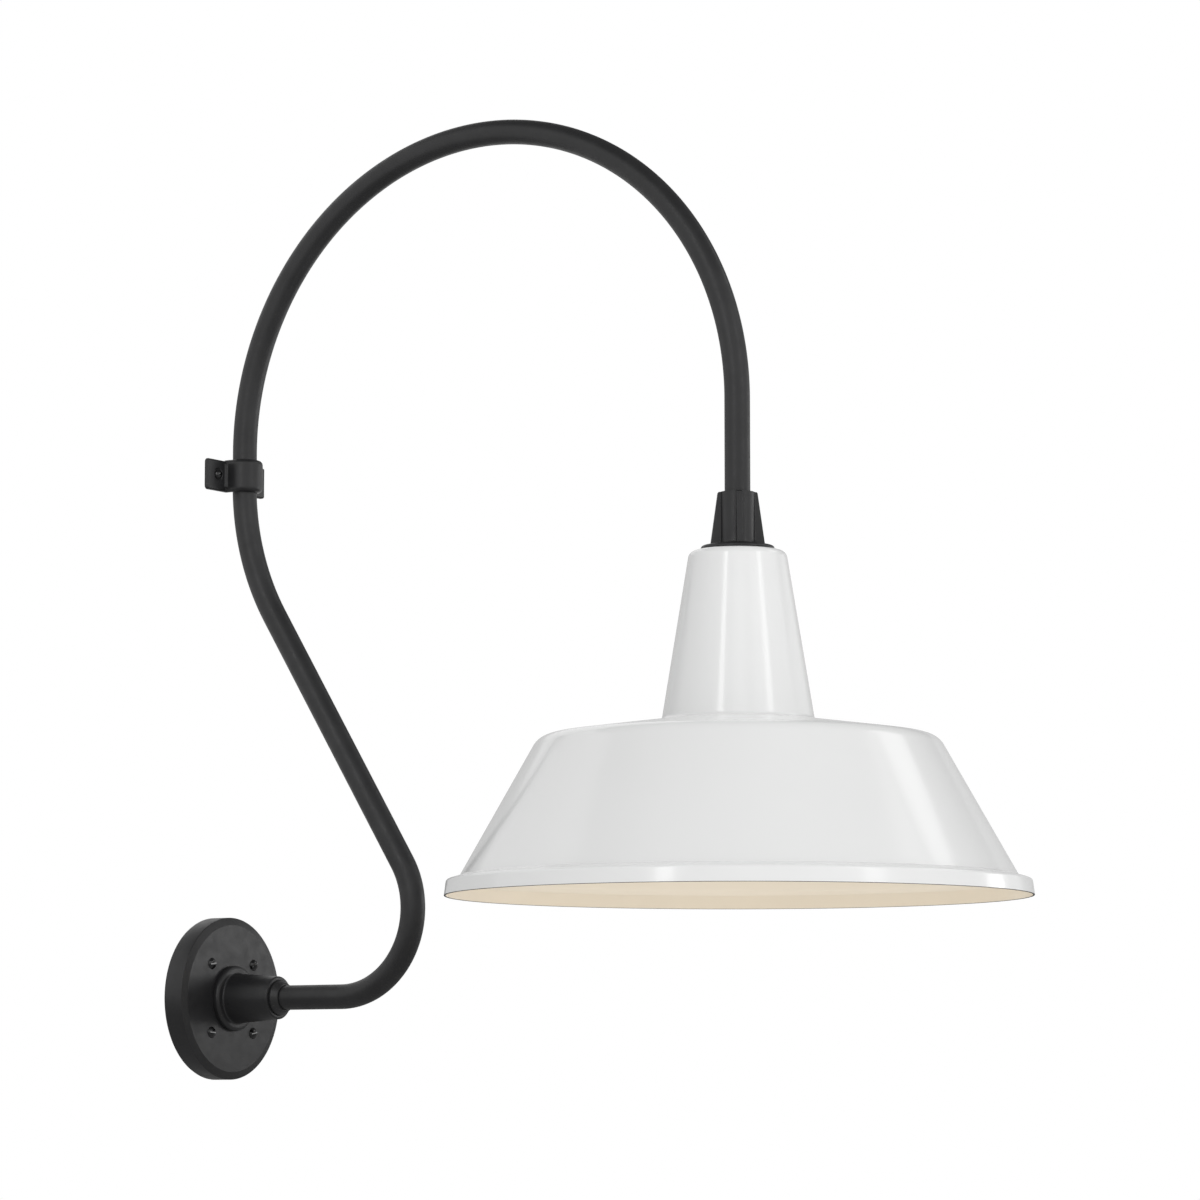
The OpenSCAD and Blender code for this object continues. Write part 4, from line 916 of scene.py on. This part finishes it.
def build_bulb_cap():
    bore, crest, top_r, low, high = 12.36, 13.0, 9.0, CAP_BOTTOM, CAP_TOP

    def wave(r, h, a):
        fade = max(0, min(1, (h - low - 1) / 2, (high - 3 - h) / 2))
        dent = 0.22 * fade * (1 - math.cos(TURN * (h / EDISON_PITCH - a / TURN)))
        return r - dent if r > 12.4 else r

    outline = fine(rounded([(bore, low), (crest, low), (crest, high), (top_r, high), (top_r, high - 0.6),
                            (bore, high - 1.0)], [0, 0.3, 1.6, 0, 0, 0.5], 6), 0.4)
    obj = turned("bulb_cap_threaded", [(outline, UP, wave)], [CAP_METAL], 96, 50)
    finish_piece(obj, "bulb", "cap_metal", "bulb_cap")


finish_cad_nodes()
build_backplate()
build_cover_screws()
build_hub()
build_gland()
build_hub_fasteners()
build_arm()
build_strap()
build_collar()
build_shade()
build_stem()
build_holder()
build_screw_shell()
build_bracket()
small_screws("holder_screws_slotted", "holder_screws", 3.0, 10.0, HOLDER_TOP + BRACKET_T,
             ((HOLDER_SCREW_OUT, 0, 90), (-HOLDER_SCREW_OUT, 0, 90)), ZINC, "zinc_steel")
small_screws("terminal_screws_slotted", "terminal_screws", 3.3, TERMINAL_SEAT - HOLDER_TOP + 8.0,
             TERMINAL_SEAT, ((TERMINAL.x, -TERMINAL.y, 40), (-TERMINAL.x, TERMINAL.y, -40)),
             BRASS, "brass")
build_earth_screw()
build_supply_lead("lead_black", "live_lead", -1, WIRE_BLACK, "black_lead")
build_supply_lead("lead_white", "neutral_lead", 1, WIRE_WHITE, "white_lead")
build_earth_lead()
build_bulb_glass()
build_bulb_cap()


# Stage, light and camera
STAGE_MIDDLE = Vector((0, -0.57, 0.3))
CAMERA_AZIMUTH = -147.0
FLOOR_HALF, FLOOR_PLACE = 14.0, (0, -0.3, -1.1)
FLOOR_GREY, FLOOR_GLOW = 0.9, 0.34


def seen_rays(tree):
    """1 for camera, glossy and transmission rays, and 0 for the rays that light the object."""
    path = tree.nodes.new("ShaderNodeLightPath")
    total = path.outputs["Is Camera Ray"]
    for name in ("Is Glossy Ray", "Is Transmission Ray"):
        add = tree.nodes.new("ShaderNodeMath")
        add.operation = "ADD"
        add.use_clamp = True
        tree.links.new(total, add.inputs[0])
        tree.links.new(path.outputs[name], add.inputs[1])
        total = add.outputs[0]
    return total


def stage_floor():
    """Pale floor that shows white, takes shadows and is clear from below."""
    bm = bmesh.new()
    s = FLOOR_HALF
    bm.faces.new([bm.verts.new(v) for v in ((-s, -s, 0), (s, -s, 0), (s, s, 0), (-s, s, 0))])
    floor = new_object("floor", bm, [], smooth=False)
    floor.location = FLOOR_PLACE
    m = bpy.data.materials.new("floor_pale")
    m.use_nodes = True
    t = m.node_tree
    t.nodes.clear()
    out = t.nodes.new("ShaderNodeOutputMaterial")
    diff = t.nodes.new("ShaderNodeBsdfDiffuse")
    diff.inputs["Color"].default_value = (FLOOR_GREY, FLOOR_GREY, FLOOR_GREY, 1)
    glow = t.nodes.new("ShaderNodeEmission")
    scale = t.nodes.new("ShaderNodeMath")
    scale.operation = "MULTIPLY"
    scale.inputs[1].default_value = FLOOR_GLOW
    t.links.new(seen_rays(t), scale.inputs[0])
    t.links.new(scale.outputs[0], glow.inputs["Strength"])
    add = t.nodes.new("ShaderNodeAddShader")
    clear = t.nodes.new("ShaderNodeBsdfTransparent")
    mix = t.nodes.new("ShaderNodeMixShader")
    geo = t.nodes.new("ShaderNodeNewGeometry")
    t.links.new(diff.outputs[0], add.inputs[0])
    t.links.new(glow.outputs[0], add.inputs[1])
    t.links.new(geo.outputs["Backfacing"], mix.inputs[0])
    t.links.new(add.outputs[0], mix.inputs[1])
    t.links.new(clear.outputs[0], mix.inputs[2])
    t.links.new(mix.outputs[0], out.inputs["Surface"])
    floor.data.materials.append(m)


def world_light(level):
    """White to the rays that see it, and a plain level of light to the rest."""
    w = bpy.data.worlds.new("studio")
    bpy.context.scene.world = w
    w.use_nodes = True
    t = w.node_tree
    t.nodes.clear()
    out = t.nodes.new("ShaderNodeOutputWorld")
    seen = t.nodes.new("ShaderNodeBackground")
    light = t.nodes.new("ShaderNodeBackground")
    for node, strength in ((seen, 1.0), (light, level)):
        node.inputs["Color"].default_value = (1, 1, 1, 1)
        node.inputs["Strength"].default_value = strength
    mix = t.nodes.new("ShaderNodeMixShader")
    t.links.new(seen_rays(t), mix.inputs[0])
    t.links.new(light.outputs[0], mix.inputs[1])
    t.links.new(seen.outputs[0], mix.inputs[2])
    t.links.new(mix.outputs[0], out.inputs["Surface"])


def around(turn, rise, reach):
    """A place at an angle to the right of the camera and above the horizon, seen from the object."""
    a, e = math.radians(turn + CAMERA_AZIMUTH), math.radians(rise)
    heading = Vector((math.cos(e) * math.cos(a), math.cos(e) * math.sin(a), math.sin(e)))
    return STAGE_MIDDLE + reach * heading


def area(name, place, size, radiance, seen):
    """Soft lamp that either lights surfaces or, if seen, shows in their gloss."""
    data = bpy.data.lights.new(name, "AREA")
    data.shape = "RECTANGLE"
    data.size, data.size_y = size
    data.energy = radiance * math.pi * size[0] * size[1]
    obj = bpy.data.objects.new(name, data)
    bpy.context.scene.collection.objects.link(obj)
    obj.location = place
    obj.rotation_euler = (STAGE_MIDDLE - Vector(place)).to_track_quat("-Z", "Y").to_euler()
    obj.visible_camera = False
    obj.visible_glossy = seen
    obj.visible_diffuse = not seen


def grey_card(name, turns, rises, reach, level):
    """Curved grey card round the object, which only reflections see."""
    bm = bmesh.new()
    across, upward = int((turns[1] - turns[0]) / 6), 6
    grid = [[bm.verts.new(around(turns[0] + (turns[1] - turns[0]) * i / across,
                                 rises[0] + (rises[1] - rises[0]) * k / upward, reach))
             for k in range(upward + 1)] for i in range(across + 1)]
    for i in range(across):
        for k in range(upward):
            bm.faces.new((grid[i][k], grid[i + 1][k], grid[i + 1][k + 1], grid[i][k + 1]))
    card = new_object(name, bm, [], smooth=False)
    m = bpy.data.materials.new(name)
    m.use_nodes = True
    t = m.node_tree
    t.nodes.clear()
    out = t.nodes.new("ShaderNodeOutputMaterial")
    tone = t.nodes.new("ShaderNodeEmission")
    tone.inputs["Strength"].default_value = level
    t.links.new(tone.outputs[0], out.inputs["Surface"])
    card.data.materials.append(m)
    for ray in ("camera", "diffuse", "transmission", "shadow", "volume_scatter"):
        setattr(card, "visible_" + ray, False)


stage_floor()
world_light(0.7)

# Two softboxes by the camera and two small fills light the surfaces
area("front_left", around(0, 25, 4.2), (1.6, 1.6), 3.4, False)
area("front_right", around(40, 25, 4.2), (1.6, 1.6), 4.0, False)
area("top", around(0, 89, 3.9), (1.6, 1.6), 0.5, False)
area("reflector", (0, -0.58, -0.1), (0.4, 0.4), 0.5, False)

# These lamps and cards show only in the gloss
area("strip_left", (-3.75, -0.75, 1.95), (0.5, 2.2), 4.0, True)
area("strip_right", (-0.4, -4.3, 1.9), (0.6, 2.2), 2.7, True)
area("crown", (2.47, -2.3, 2.8), (1.0, 1.0), 1.8, True)
area("rim", around(114, -2, 3.5), (0.8, 1.4), 2.5, True)
grey_card("card_back", (100, 180), (18, 46), 6.0, 0.25)
grey_card("card_low", (140, 250), (-4, 18), 6.0, 0.55)
grey_card("card_top", (-180, 180), (45, 89), 6.5, 0.16)
grey_card("card_floor", (-180, 180), (-89, -14), 1.35, 0.3)

# The photo's own camera, worked out from the ellipses of the shade, the roof and the backplate
camera = bpy.data.objects.new("camera", bpy.data.cameras.new("camera"))
bpy.context.scene.collection.objects.link(camera)
camera.data.sensor_width = 36.0
camera.data.lens = 138.71
camera.data.clip_end = 100.0
camera.location = (-3.41508, -2.62401, -0.10723)
camera.rotation_euler = Euler((math.radians(96.362), 0.0, math.radians(-57.222)))
bpy.context.scene.camera = camera
bpy.context.scene.view_settings.view_transform = "Standard"
